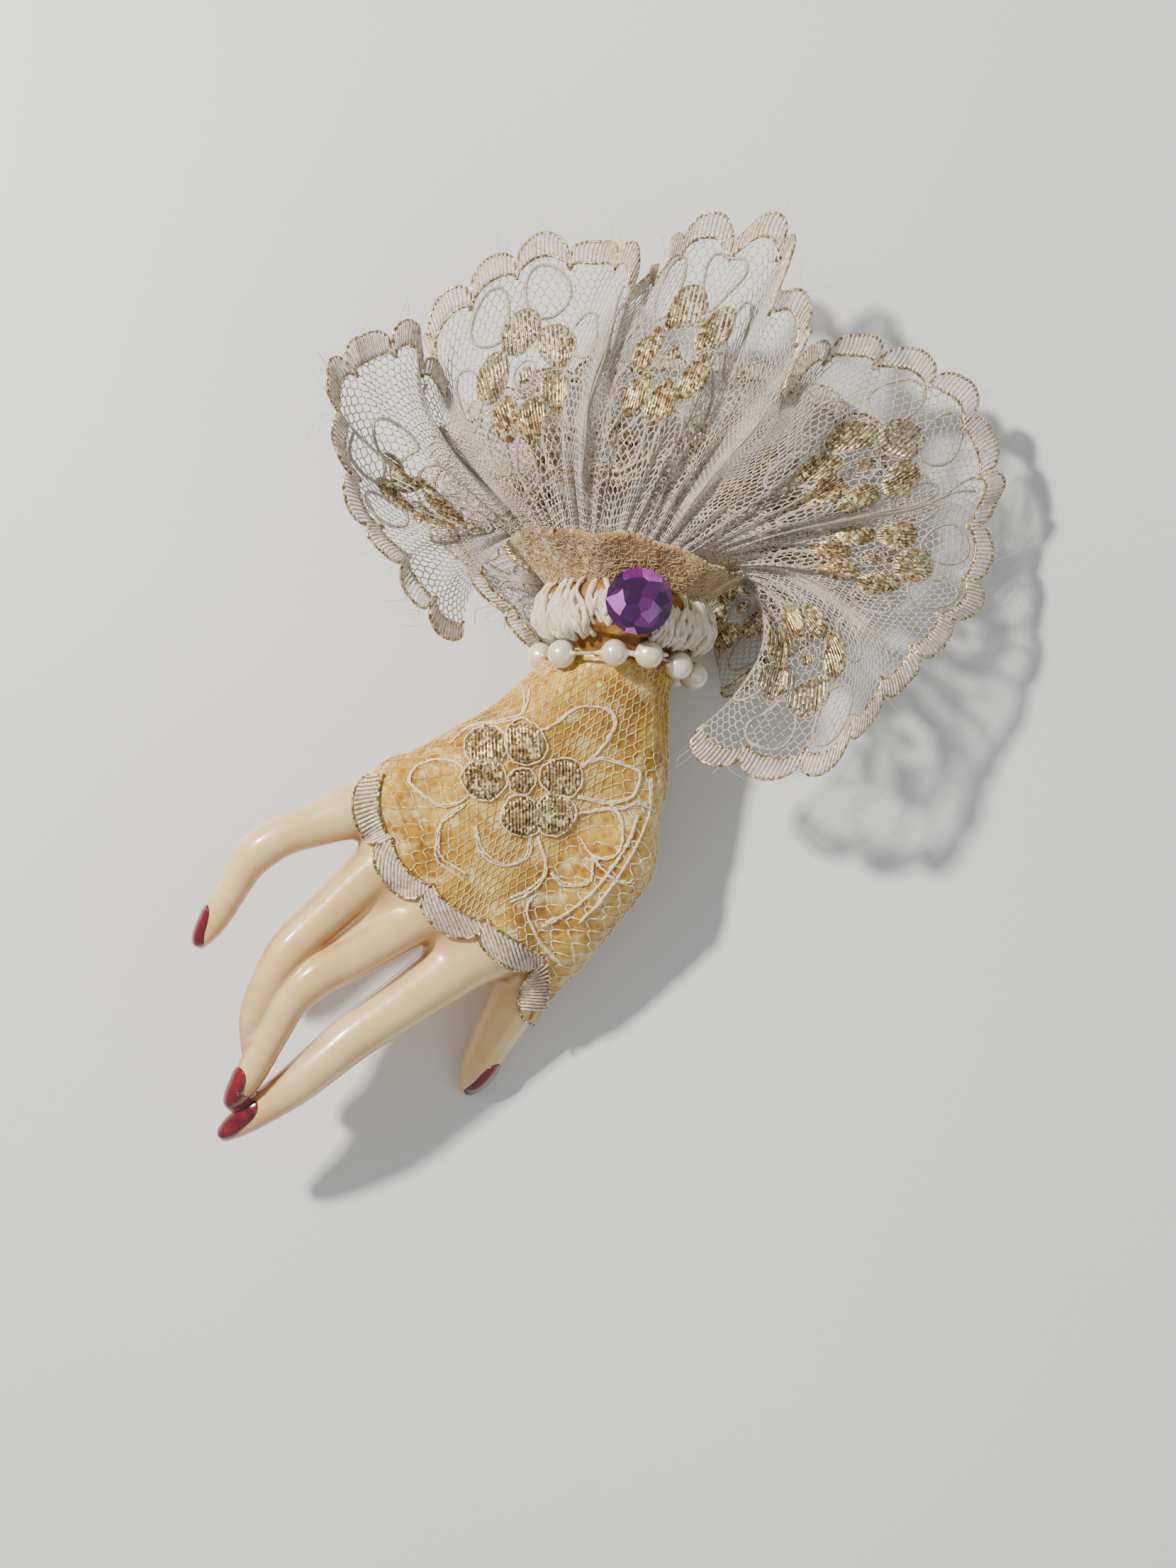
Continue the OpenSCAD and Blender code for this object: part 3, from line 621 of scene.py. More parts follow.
def melt(a, b, k):
    """The smaller of two distances, blended over a width k: min(a, b) - h^2 k / 4, where h is
    max(k - |a - b|, 0) / k."""
    h = np.maximum(k - np.abs(a - b), 0.0) / k
    return np.minimum(a, b) - h * h * k * 0.25


def add_bone(grid, field, a, b, k, flat=1.0):
    """Melts a tapering round bone from a to b into the field: distance to the line less a radius that goes
    from a's to b's. flat under 1 thins it from back to front."""
    a, b = np.array(a, np.float32), np.array(b, np.float32)
    reach = max(a[3], b[3]) + 5.0
    window = grid.window(np.minimum(a, b)[:3] - reach, np.maximum(a, b)[:3] + reach)
    x, y, z = np.meshgrid(*[grid.axes[i][window[i]] for i in range(3)], indexing="ij", sparse=True)
    d = b[:3] - a[:3]
    px, py, pz = x - a[0], y - a[1], z - a[2]
    t = np.clip((px * d[0] + py * d[1] + pz * d[2]) / float(d @ d), 0.0, 1.0)
    radius = a[3] + (b[3] - a[3]) * t
    distance = np.sqrt((px - t * d[0]) ** 2 + (py - t * d[1]) ** 2 + ((pz - t * d[2]) / flat) ** 2) - radius
    field[window] = melt(field[window], distance, k)


def blurred(field, width, times):
    """The field averaged over a cube of 2 width + 1 grid steps, a number of times."""
    for _ in range(times):
        for axis in range(3):
            padded = np.concatenate([np.repeat(field.take([0], axis), width + 1, axis), field,
                                     np.repeat(field.take([-1], axis), width, axis)], axis)
            total = np.cumsum(padded, axis=axis, dtype=np.float64)
            n, span = field.shape[axis], 2 * width + 1
            field = (total.take(range(span, span + n), axis) - total.take(range(n), axis)) / span
    return field.astype(np.float32)


def placed(joint):
    """A joint of the hand with its height over the palm's flat turned into z."""
    return [joint[0], joint[1], joint[2] + SEAT_Z, joint[3]]


def rounded(joints, per_span=4):
    """A finger's joints as a smooth curve of places and radii."""
    return spline(np.array([placed(j) for j in joints], float), per_span)


def hand_field(settings):
    """The hand as a distance on a grid, and how creased each place is. The palm's bones melt widely
    together, and each finger melts into them more and more tightly towards its tip."""
    grid = Grid((-38.0, -40.0, -3.5), (14.5, 19.5, 20.0), settings.grain)
    far = np.full(grid.shape, 9.0, np.float32)
    palm = far.copy()
    little, ring, middle, index, thumb = (placed(f[0]) for f in (*FINGERS, THUMB))
    wrist, out, mid, inner = (placed(j) for j in (WRIST, HEEL_OUT, HEEL_MID, HEEL_IN))
    belly = [placed(j) for j in BELLY]
    groups = [[wrist, out, inner, belly[1], belly[2]], [*belly, out, inner, mid],
              [out, mid, little, ring, belly[0]],
              [mid, inner, ring, middle, belly[3]], [inner, middle, index, thumb, belly[3]],
              [index, thumb, placed(THUMB[1]), belly[3]], [out, mid, middle, inner],
              [wrist, mid, middle, index]]
    bones = [(a, b) for group in groups for n, a in enumerate(group) for b in group[n + 1:]]
    arm = [6.9, 12.6, SEAT_Z + 5.7, 5.35]
    bones += [(arm, [6.9, 20.5, SEAT_Z + 5.7, 5.35]), (wrist, arm)]
    for a, b in bones:
        add_bone(grid, palm, a, b, 0.05)
    palm = blurred(palm, 5, 2)
    fingers = []
    for joints in (*FINGERS, THUMB):
        finger = far.copy()
        curve = rounded(joints)
        for a, b in zip(curve[:-1], curve[1:]):
            add_bone(grid, finger, a, b, 0.3)
        fingers.append(finger)
    for k, lower in ((1, 0.9), (2, 1.0), (3, 1.0)):
        a, b = placed(RING[k]), placed(MIDDLE[k])
        a[2], b[2], a[3], b[3] = a[2] - lower, b[2] - lower, 1.25, 1.25
        add_bone(grid, fingers[2], a, b, 0.9)
    add_bone(grid, fingers[2], [-15.6, -12.2, 11.6, 1.9], [-21.8, -16.4, 12.6, 1.4], 0.9)
    tight = 0.35 + (settings.web - 0.35) * (1.0 - smooth_step(palm, 0.0, 6.0))
    whole = palm.copy()
    for finger in fingers:
        whole = melt(whole, finger, tight)
    ordered = np.sort(np.stack(fingers), axis=0)
    crease = 1.0 - smooth_step(ordered[1], 0.4, 4.6)
    x, y, z = np.meshgrid(*grid.axes, indexing="ij", sparse=True)
    flat_room = np.maximum(np.maximum(np.abs(x) - 10.2, np.abs(y) - 2.7), z - SEAT_Z)
    whole = np.maximum(whole, -flat_room)
    whole = np.maximum(whole, y - 18.6)
    return grid, whole.astype(np.float32), crease.astype(np.float32)


def skin_of(grid, field):
    """The surface where the field is zero: one point in each cell that the surface crosses, at the mean of
    the crossings on the cell's edges, and one quad round each crossed edge."""
    inside = field < 0.0
    cells = tuple(n - 1 for n in grid.shape)
    total = np.zeros((*cells, 3), np.float32)
    number = np.zeros(cells, np.float32)
    crossings = []
    for axis in range(3):
        lower = [slice(None)] * 3
        upper = [slice(None)] * 3
        lower[axis], upper[axis] = slice(0, -1), slice(1, None)
        a, b = field[tuple(lower)], field[tuple(upper)]
        crossed = np.argwhere(inside[tuple(lower)] != inside[tuple(upper)])
        others = [n for n in range(3) if n != axis]
        for n in others:
            crossed = crossed[(crossed[:, n] > 0) & (crossed[:, n] < cells[n])]
        va, vb = a[tuple(crossed.T)], b[tuple(crossed.T)]
        place = crossed.astype(np.float32)
        place[:, axis] += va / (va - vb)
        for da in (0, 1):
            for db in (0, 1):
                cell = crossed.copy()
                cell[:, others[0]] -= da
                cell[:, others[1]] -= db
                np.add.at(total, tuple(cell.T), place)
                np.add.at(number, tuple(cell.T), 1.0)
        crossings.append((axis, others, crossed, va < 0.0))
    used = np.argwhere(number > 0)
    index = np.full(cells, -1, np.int64)
    index[tuple(used.T)] = np.arange(len(used))
    points = total[tuple(used.T)] / number[tuple(used.T)][:, None] * grid.step + grid.low
    faces = []
    for axis, others, crossed, outward in crossings:
        corners = []
        for da, db in ((0, 0), (1, 0), (1, 1), (0, 1)):
            cell = crossed.copy()
            cell[:, others[0]] -= da
            cell[:, others[1]] -= db
            corners.append(index[tuple(cell.T)])
        quads = np.stack(corners, -1)
        turn = outward if axis != 1 else ~outward
        quads[~turn] = quads[~turn][:, ::-1]
        faces.append(quads)
    return points, np.concatenate(faces)


# The hand's grid and field, kept for the pieces that lie on it.
HAND = {}


class HATPIN_OT_hand(bpy.types.Operator):
    """Makes the moulded hand and its five painted nails"""

    bl_idname = "hatpin.hand"
    bl_label = "Hand and nails"

    def execute(self, context):
        settings = in_mm(context.scene.hatpin_hand)
        grid, field, crease = hand_field(settings)
        HAND.update(grid=grid, field=field)
        points, faces = skin_of(grid, field)
        facing = hand_normals(points)[:, 2]
        # Painted shade: strong in the creases between the fingers, faded out where the skin faces up.
        painted_shade = grid.sample(crease, points) * (1.0 - 0.92 * smooth_step(facing, 0.35, 0.85))
        plastic = ivory_plastic(settings.ivory)
        hand = new_piece("hand_skin", points, [faces], plastic, "ivory_plastic", {"painted_shade": painted_shade})
        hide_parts("hand")
        material = nail_varnish(settings.red)
        for number, joints in enumerate((*FINGERS, THUMB), 1):
            nail = make_nail(settings, joints, number, material)
            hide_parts(f"nail_{number}")
        return {"FINISHED"}


# Which way each nail looks, from straight up, as [x, y, z], its length and its width.
NAIL_LOOK = [[-0.8, 0.25, 0.6], [-0.1, 0.1, 0.95], [-0.62, 0.15, 0.78], [-0.3, 0.35, 0.9],
             [0.75, -0.35, 0.62]]
NAIL_SIZE = [(4.6, 2.1), (2.3, 1.4), (4.4, 2.3), (5.6, 2.2), (5.2, 2.3)]


def make_nail(settings, joints, number, material):
    """One nail's lacquer: an oval plate, long along the finger and bent round it. A point is on the finger's
    surface, found from outside along the nail's look, then lifted."""
    length, width = NAIL_SIZE[number - 1]
    tip, back = (np.array(placed(j))[:3] for j in (joints[-1], joints[-3]))
    ahead = unit(tip - back)
    look = np.array(NAIL_LOOK[number - 1])
    look = unit(look - (look @ ahead) * ahead)
    side = np.cross(ahead, look)
    rows, columns = 26, 17
    s = np.linspace(-1.0, 1.0, rows)[:, None]
    t = np.linspace(-1.0, 1.0, columns)[None, :]
    wide = width / 2 * np.sqrt(np.maximum(1.0 - np.abs(s) ** 3.2, 0.004))
    centre = tip + ahead * (joints[-1][3] * 0.75 - length / 2)
    flat = centre + s[..., None] * ahead * length / 2 + (t * wide)[..., None] * side
    start = flat + look * 3.2
    reach = march(start, -np.broadcast_to(look, start.shape), 7.0)
    reach = np.minimum(reach, reach[:, columns // 2:columns // 2 + 1] + 0.75)
    skin = start - look * reach[..., None]
    edge = np.maximum(np.abs(s) ** 4 * np.ones_like(t), np.abs(t) ** 4 * np.ones_like(s))
    top = skin + look * (settings.lacquer * (1.0 - 0.75 * edge))[..., None]
    low = skin - look * 0.15
    points, faces = closed_sheet(top, low)
    return new_piece(f"lacquer_{number}", points, faces, material, "nail_lacquer")


def march(start, direction, limit):
    """How far each ray goes before the hand's field is zero."""
    grid, field = HAND["grid"], HAND["field"]
    reach = np.zeros(start.shape[:-1])
    for _ in range(40):
        value = grid.sample(field, start + direction * reach[..., None])
        reach = np.minimum(reach + np.clip(value, -0.4, 2.0) * 0.9, limit)
    return reach


# ---------------------------------------------------------------- the lace

# The gathers' centre and radius, and the free edge of the upper layer from low on the little finger's
# side, over
# the top, to low on the thumb's. The edge folds over itself in places.
GATHERS = np.array([6.9, 19.8, 8.9])
GATHER_R = 6.45
RIM = [
    [-9.1, 12, 12.2], [-12.3, 14.1, 16.1], [-14.1, 17.9, 19.1], [-15.5, 20, 22.1], [-18.4, 22.8, 23.1],
    [-19.4, 28.4, 25.1], [-20, 31.5, 26.1], [-20.7, 36.2, 25.1], [-19.6, 39.6, 24.1], [-17.8, 40.7, 22],
    [-14.7, 42.6, 20.1], [-12.8, 42, 18], [-10.1, 37.6, 13.4], [-12.9, 41.9, 12.4], [-12.4, 44.1, 13],
    [-10.8, 46.2, 13], [-9.1, 47.6, 13.2], [-7.1, 49.5, 12.4], [-4, 51.5, 11.2], [-0.6, 53.1, 10.2],
    [4.6, 52.1, 11.2], [8, 51.1, 14.2], [8.3, 47.2, 15], [10.2, 50.3, 11], [11.1, 51.1, 14.2],
    [13.6, 54, 12.2], [16.4, 54.4, 12], [18.4, 52.9, 12.2], [21.2, 54.2, 13], [23.1, 53.7, 13.2],
    [23.5, 52.3, 14], [22.2, 46.9, 15], [24, 46.6, 14.5], [25.1, 44.3, 15.5], [24.8, 41.9, 15.5],
    [21.1, 36.9, 14], [25.3, 41.9, 11], [27.5, 43.2, 10.7], [29.6, 43, 10.2], [32.7, 42.9, 9.2],
    [35.5, 42, 8.2], [39.1, 40.4, 7.2], [42.2, 38, 6.6], [43.5, 34.6, 6.2], [45.2, 29.7, 5.7],
    [44.3, 26, 5.9], [43.9, 21.2, 6.2], [42.7, 16.9, 7.2], [38.8, 13.1, 9.5], [35.8, 9.6, 11.2],
    [29.9, 4, 14.2], [26, -0.1, 15.2], [20.9, -0.8, 15.2], [14.9, 0.6, 14.2], [12.2, 2.7, 12.2],
]
# Where the upper layer passes half way down, from the same end, and where its flowers come along the free
# edge.
HALF_WAY = [
    [-6.5, 20.5, 12.0], [-11.0, 23.0, 16.0], [-13.9, 27.0, 18.0], [-11.8, 31.5, 16.5], [-7.5, 31.8, 14.5],
    [-3.4, 33.4, 15.0], [1.0, 34.8, 16.0], [5.6, 34.6, 17.4], [8.8, 34.0, 17.6], [12.0, 34.6, 17.0],
    [15.7, 35.2, 16.4], [18.8, 33.0, 15.8], [21.0, 30.6, 15.0], [25.0, 29.2, 13.8], [28.2, 26.8, 13.0],
    [30.8, 23.0, 12.2], [31.4, 18.6, 12.0], [28.6, 14.0, 12.4], [24.6, 11.4, 12.6], [20.6, 12.2, 10.6],
]
FLOWERS_NEAR = [
    [-19.4, 28.4, 25.1], [-4.0, 51.5, 11.2], [15.0, 54.2, 12.1], [40.4, 39.6, 6.9], [43.4, 19.0, 6.6],
    [22.0, -0.6, 15.2],
]
UNDER_RIM = [
    [16.9, 6.8, 1.4], [23.9, 11.8, 1.4], [33.9, 18.8, 0.5], [36.9, 28.8, 1.6], [31.9, 36.8, 0.5],
    [19.9, 42.3, 1.6], [6.9, 42.8, 0.5], [-5.1, 39.8, 1.6], [-12.1, 34.8, 0.5], [-14.1, 27.8, 1.6],
    [-8.1, 18.8, 0.5], [-2.1, 11.8, 1.6],
]


class Cloth:
    """A strip of lace in its place: a grid of points over (along, down), its normals, and its flat size."""

    def __init__(self, points, length, depth, centres):
        self.points = points
        self.length, self.depth = length, depth
        self.centres = centres
        self.normals = unit(np.cross(np.gradient(points, axis=1), np.gradient(points, axis=0)))

    def drawn(self, s, t):
        """How far the cloth is drawn sideways: between flowers c and c' by w (c' - c) sin(2 pi p) / 2 pi,
        with p from 0 to 1, so that a flower lies open and the cloth between two is crowded. w is 0 at the
        free edge."""
        stops = np.concatenate([[self.centres[0] * 2 - self.centres[1]], self.centres,
                                [self.centres[-1] * 2 - self.centres[-2]]])
        k = np.clip(np.searchsorted(stops, s) - 1, 0, len(stops) - 2)
        span = stops[k + 1] - stops[k]
        p = (s - stops[k]) / span
        w = 0.72 * smooth_step(t, 2.0, 12.0) * (1.0 - smooth_step(t, 20.0, 33.0))
        return w * span * np.sin(2 * math.pi * p) / (2 * math.pi)

    def lift(self, flat, height=0.0):
        """Takes flat places (along, down) in mm onto the cloth: bilinear in the grid, then height along the
        normal. Returns the places and the normals."""
        rows, columns, _ = self.points.shape
        along = flat[..., 0] + self.drawn(flat[..., 0], flat[..., 1])
        a = np.clip(along / self.length, 0.0, 0.99999) * (rows - 1)
        b = np.clip(flat[..., 1] / self.depth, 0.0, 0.99999) * (columns - 1)
        i, j = a.astype(int), b.astype(int)
        f, g = (a - i)[..., None], (b - j)[..., None]
        blended = [
            grid[i, j] * (1 - f) * (1 - g) + grid[i + 1, j] * f * (1 - g) + grid[i, j + 1] * (1 - f) * g
            + grid[i + 1, j + 1] * f * g
            for grid in (self.points, self.normals)
        ]
        normal = unit(blended[1])
        places = blended[0] + normal * height
        places[..., 2] = np.maximum(places[..., 2], TABLE_Z + 0.2)
        return places, normal


def gathered(rim, half_way, flowers, first, last, fullness, depth, seed):
    """A gathered strip of lace. Rib u leaves the gathers at root(u), on a circle from angle first to angle
    last, passes through half_way(u) at v = 0.55 and ends on the free edge at v = 1, by the parabola through
    the three, with 14 v (1 - v)^3 mm along the arm added, and is evenly spaced by its own length. Between
    the flowers the cloth is drawn together, and folds push it along its normal by the sum of A(v) sin(2 pi
    n u + wander(u))."""
    rng = np.random.default_rng(seed)
    stations, ribs = 1500, 110
    curve = spline(np.array(rim, float), 10)
    length = float(np.linalg.norm(np.diff(curve, axis=0), axis=1).sum())
    edge = resample(curve, stations)
    middle = resample(spline(np.array(half_way, float), 10), stations)
    u = np.linspace(0.0, 1.0, stations)
    a = np.radians(first + (last - first) * u)
    ring = np.stack([np.cos(a), 0 * a, np.sin(a)], -1)
    root = GATHERS + GATHER_R * ring
    v = np.linspace(0.0, 1.0, 200)[None, :, None]
    m = 0.55
    ribs_at = (root[:, None] * (v - m) * (v - 1) / m + middle[:, None] * v * (1 - v) / (m * (1 - m))
               + edge[:, None] * v * (v - m) / (1 - m))
    ribs_at = ribs_at + 14.0 * v * (1 - v) ** 3 * np.array([0.0, 1.0, 0.0])
    run = np.cumsum(np.linalg.norm(np.diff(ribs_at, axis=1), axis=2), axis=1)
    run = np.concatenate([np.zeros((stations, 1)), run], 1)
    run = run / run[:, -1:] * 0.999 + np.arange(stations)[:, None]
    want = np.linspace(0.0, 0.999, ribs)[None, :] + np.arange(stations)[:, None]
    flat_ribs = ribs_at.reshape(-1, 3)
    even = np.stack([np.interp(want.reshape(-1), run.reshape(-1), flat_ribs[:, c]) for c in range(3)], -1)
    even = even.reshape(stations, ribs, 3)
    normal = unit(np.cross(np.gradient(even, axis=1), np.gradient(even, axis=0)))
    t = np.linspace(0.0, 1.0, ribs)[None, :]
    knots = np.linspace(0.0, 1.0, 60)
    wander = np.interp(u, knots, np.cumsum(rng.normal(0.0, 0.9, 60)))[:, None]
    swell = np.interp(u, knots, rng.uniform(0.5, 1.2, 60))[:, None]
    turns = 2.0 * math.pi * u[:, None]
    centres = flower_places(curve, flowers)
    gap = 1.0 - np.exp(-(np.abs(u[:, None] * length - centres[None]).min(1) / 7.5) ** 4)[:, None]
    swell = swell * (0.35 + 0.65 * gap)
    push = 0.62 * np.sin(39 * turns + wander) * swell
    push = push * smooth_step(t, 0.0, 0.2) * (1 - smooth_step(t, 0.3, 0.72))
    wide = 0.95 * np.sin(15 * turns + 1.7 * wander)
    push = push + wide * smooth_step(t, 0.1, 0.45) * (1 - 0.75 * smooth_step(t, 0.5, 1.0))
    push = push + 0.35 * np.sin(27 * turns + 2.3 * wander + 5.0 * t) * smooth_step(t, 0.3, 0.9) * swell
    points = even + normal * (push * fullness)[..., None]
    points[..., 2] = np.maximum(points[..., 2], TABLE_Z + 0.25)
    return Cloth(points, length, depth, centres)


def flower_places(curve, flowers):
    """How far along the free edge each flower comes: the nearest place on the edge to each given point."""
    run = np.concatenate([[0.0], np.cumsum(np.linalg.norm(np.diff(curve, axis=0), axis=1))])
    near = np.linalg.norm(curve[None] - np.array(flowers, float)[:, None], axis=2).argmin(1)
    return run[near]


def net_lines(length, top, low, cell, seed, keep=None):
    """Hexagonal net as short straight threads: a pillar in each cell and two slants from its head to the
    feet of the next row, with every knot shaken a little. Returns strands x 2 x (along, down)."""
    rng = np.random.default_rng(seed)
    tall = cell * 0.8
    rows, columns = int((low - top) / tall) + 1, int(length / cell) + 2
    i, j = np.meshgrid(np.arange(rows), np.arange(columns), indexing="ij")
    foot = np.stack([(j + 0.5 * (i % 2) - 0.5) * cell, top + i * tall], -1)
    head = foot + np.array([0.0, tall * 0.45])
    foot = foot + rng.normal(0.0, cell * 0.05, foot.shape)
    head = head + rng.normal(0.0, cell * 0.05, head.shape)
    lines = [np.stack([foot, head], -2).reshape(-1, 2, 2)]
    for shift in (0, 1):
        aim = j[:-1] + np.where(i[:-1] % 2 == 0, shift - 1, shift)
        ok = (aim >= 0) & (aim < columns)
        lines.append(np.stack([head[:-1][ok], foot[1:][i[:-1][ok], aim[ok]]], -2))
    lines = np.concatenate(lines)
    middle = lines.mean(1)
    inside = (middle[:, 0] > 0) & (middle[:, 0] < length)
    if keep:
        inside &= keep(middle[:, 0], middle[:, 1])
    return lines[inside]


def scallop_lines(s, width, depth):
    """The border's inner and outer lines: half ellipses side by side, h = (1 - (2f - 1)^2)^0.42."""
    f = (s / width) % 1.0
    bow = np.maximum(1.0 - (2.0 * f - 1.0) ** 2, 0.0) ** 0.42
    return depth - 4.0 + 1.35 * bow, depth - 2.9 + 2.8 * bow


def ribs_in(centre, radius, pitch, squash=1.0, points=4):
    """Parallel ribs that fill a disc: each is a chord of the circle, pitch apart. Returns strands x points
    x 2."""
    x = np.arange(-radius + pitch * 0.5, radius, pitch)
    half = np.sqrt(np.maximum(radius**2 - x**2, 0.0)) * squash
    t = np.linspace(-1.0, 1.0, points)
    lines = np.stack([np.broadcast_to(x[:, None], (len(x), points)), half[:, None] * t], -1)
    return (np.asarray(centre)[:, None, None, :] + lines[None]).reshape(-1, points, 2)


def petal_lines(centres, count, base, reach, half, first, points=40):
    """Closed petal outlines round each centre: out from base by reach (1 - cos 2 pi q) / 2, and to the side
    by half sin 2 pi q, wider past the middle."""
    q = np.linspace(0.0, 1.0, points) * 2 * math.pi
    out = base + reach * (1 - np.cos(q)) / 2
    side = half * np.sin(q) * (0.55 + 0.6 * (1 - np.cos(q)) / 2)
    turn = first + np.arange(count) * 2 * math.pi / count
    x = out[None] * np.cos(turn)[:, None] - side[None] * np.sin(turn)[:, None]
    y = out[None] * np.sin(turn)[:, None] + side[None] * np.cos(turn)[:, None]
    return (np.asarray(centres)[:, None, None, :] + np.stack([x, y], -1)[None]).reshape(-1, points, 2)


def ring_lines(centres, radius, points=22, uneven=0.0):
    """A ring round each centre n: radius (1 + uneven sin(3 q + 2.4 n) + uneven sin(2 q + 4 n)), with q once
    round."""
    centres = np.asarray(centres, float)
    q = np.linspace(0.0, 2 * math.pi, points)[None]
    n = np.arange(len(centres))[:, None]
    size = radius * (1 + uneven * (np.sin(3 * q + 2.4 * n) + np.sin(2 * q + 4.0 * n)))
    return centres[:, None, :] + np.stack([size * np.cos(q), size * np.sin(q)], -1)


def laid(cloth, flat, radius, sides, height=0.0):
    """Threads laid on the cloth along flat lines."""
    places, normals = cloth.lift(flat, height)
    return tubes(places, normals, radius, sides)


def cut_up(lines, span):
    """Cuts long lines into overlapping pieces of span points, so that one can be dropped without its
    neighbours."""
    starts = range(0, lines.shape[1] - 1, span)
    return np.concatenate([lines[:, k:k + span + 1] for k in starts if k + span + 1 <= lines.shape[1]])


def make_ruffle(settings, cloth, name, node, seed, materials):
    """One layer of the ruffle, as its threads: the net in equal lengths, its outlining cords, its metallic
    petals, its satin border and its loose fibres."""
    rng = np.random.default_rng(seed)
    net_material, cord_material, gold_material, satin_material = materials
    length, depth = cloth.length, cloth.depth
    count = int(round(length / settings.scallop))
    width = length / count
    centres = np.stack([cloth.centres, 0 * cloth.centres + 19.6], -1)
    turn = np.arange(6) * math.pi / 3 + math.pi / 6
    around = np.stack([np.cos(turn), np.sin(turn)], -1)
    petals = (centres[:, None] + 4.6 * around[None]).reshape(-1, 2)

    def in_net(s, t):
        """Whether a place is in the net, outside the metallic petals and the border."""
        near = np.full(s.shape, True)
        for x, y in petals:
            near &= (s - x) ** 2 + (t - y) ** 2 > 1.9**2
        return near & (t < scallop_lines(s, width, depth)[0])

    net = net_lines(length, 0.15, depth - 1.0, settings.cell, seed, in_net)
    pieces = []
    parts = 3 if length > 200 else 1
    for n in range(parts):
        low, high = length * n / parts, length * (n + 1) / parts
        mine = net[(net[:, 0, 0] >= low) & (net[:, 0, 0] < high)]
        points, faces = laid(cloth, mine, settings.net_thread, 3)
        piece = new_piece(f"{name}_net_{n + 1}", points, faces, net_material, "lace")
        pieces.append(piece)
    s = np.linspace(0.0, length, count * 18 + 1)
    inner, outer = scallop_lines(s, width, depth)
    edges = np.stack([np.stack([s, inner], -1), np.stack([s, outer], -1)])
    edges = cut_up(edges, 18)
    rib_s = np.arange(0.2, length, settings.rib)
    rib_in, rib_out = scallop_lines(rib_s, width, depth)
    t = np.linspace(0.0, 1.0, 5)
    across = rib_in[:, None] * (1 - t) + rib_out[:, None] * t
    ribs = np.stack([np.broadcast_to(rib_s[:, None], across.shape), across], -1)
    satin = laid(cloth, ribs, 0.15, 5)
    satin = new_piece(f"{name}_satin_border", *satin, satin_material, "lace")
    gold = [laid(cloth, edges, 0.16, 5, 0.05), laid(cloth, ribs_in(petals, 2.2, 0.44), 0.17, 5, 0.05),
            laid(cloth, ribs_in(centres, 0.8, 0.4), 0.16, 5, 0.05)]
    gold = new_piece(f"{name}_metal_thread", *join_parts(gold), gold_material, "lace")
    big = petal_lines(centres, 8, 5.4, 6.0, 2.75, math.pi / 8)
    big[..., 1] = np.clip(big[..., 1], 9.6, depth - 2.8)
    line = np.linspace(0.0, length, 40 * max(1, int(length / 12)) + 1)
    level = [np.stack([line, 8.7 + 0.22 * np.sin(line * 2.1 + k) + 1.15 * k], -1)[None] for k in (0, 1)]
    level = np.concatenate([cut_up(one, 20) for one in level])
    stems = []
    down = np.linspace(10.0, depth - 4.2, 40)
    for x in (cloth.centres[1:] + cloth.centres[:-1]) / 2:
        for side in (-0.55, 0.55):
            stems.append(np.stack([x + side + 0.8 * np.sin(down * 0.62 + side), down], -1))
    stems = np.array(stems)
    stems = stems[(stems[..., 0].min(1) > 0.3) & (stems[..., 0].max(1) < length - 0.3)]
    rings = np.concatenate([ring_lines(petals, 2.27), ring_lines(centres, 1.35)])
    cords = [laid(cloth, big, settings.cord_thread, 5, 0.06),
             laid(cloth, level, settings.cord_thread * 0.8, 4, 0.04),
             laid(cloth, stems, settings.cord_thread, 5, 0.06), laid(cloth, rings, 0.10, 4, 0.08)]
    drops = np.concatenate([stems[::2, ::13] + np.array([dx, 0.0]) for dx in (-1.9, 2.4)]).reshape(-1, 2)
    drops = drops[(drops[:, 0] > 1.5) & (drops[:, 0] < length - 1.5) & (drops[:, 1] < depth - 6)]
    if len(drops):
        cords.append(laid(cloth, ribs_in(drops, 1.25, 0.3, 1.25), 0.075, 4, 0.03))
    cords = new_piece(f"{name}_outline_cord", *join_parts(cords), cord_material, "lace")
    fluff = make_fluff(cloth, rng, int(length * 0.55), width)
    fluff = new_piece(f"{name}_loose_fibres", *fluff, net_material, "lace")
    for piece in pieces:
        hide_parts(node)


def make_fluff(cloth, rng, count, width):
    """Loose fibres along the edge: each leaves the edge and curls by a walk whose direction turns
    steadily."""
    s = rng.uniform(1.0, cloth.length - 1.0, count)
    start = np.stack([s, scallop_lines(s, width, cloth.depth)[1]], -1)
    place, normal = cloth.lift(start)
    inner, _ = cloth.lift(start - np.array([0.0, 1.5]))
    out = unit(place - inner)
    side = np.cross(out, normal)
    steps = 12
    size = rng.uniform(0.12, 0.30, (count, 1, 1)) * np.where(rng.random((count, 1, 1)) > 0.94, 2.2, 1.0)
    turn = (rng.uniform(-2.4, 2.4, (count, 1)) + np.cumsum(rng.normal(0, 0.28, (count, steps)), 1)
            + np.linspace(0, 1, steps) * rng.uniform(-2.2, 2.2, (count, 1)))[..., None]
    tilt = rng.uniform(-0.5, 0.5, (count, 1)) + np.linspace(0, 0.6, steps) * rng.uniform(-1, 1, (count, 1))
    step = np.cos(turn * 0.55) * out[:, None] + np.sin(turn * 0.55) * side[:, None]
    step = (step + tilt[..., None] * normal[:, None]) * size
    path = place[:, None] + np.cumsum(step, 1) - step[:, :1] * 2
    path[..., 2] = np.maximum(path[..., 2], TABLE_Z + 0.1)
    return tubes(path, np.broadcast_to(normal[:, None], path.shape), 0.024, 3)


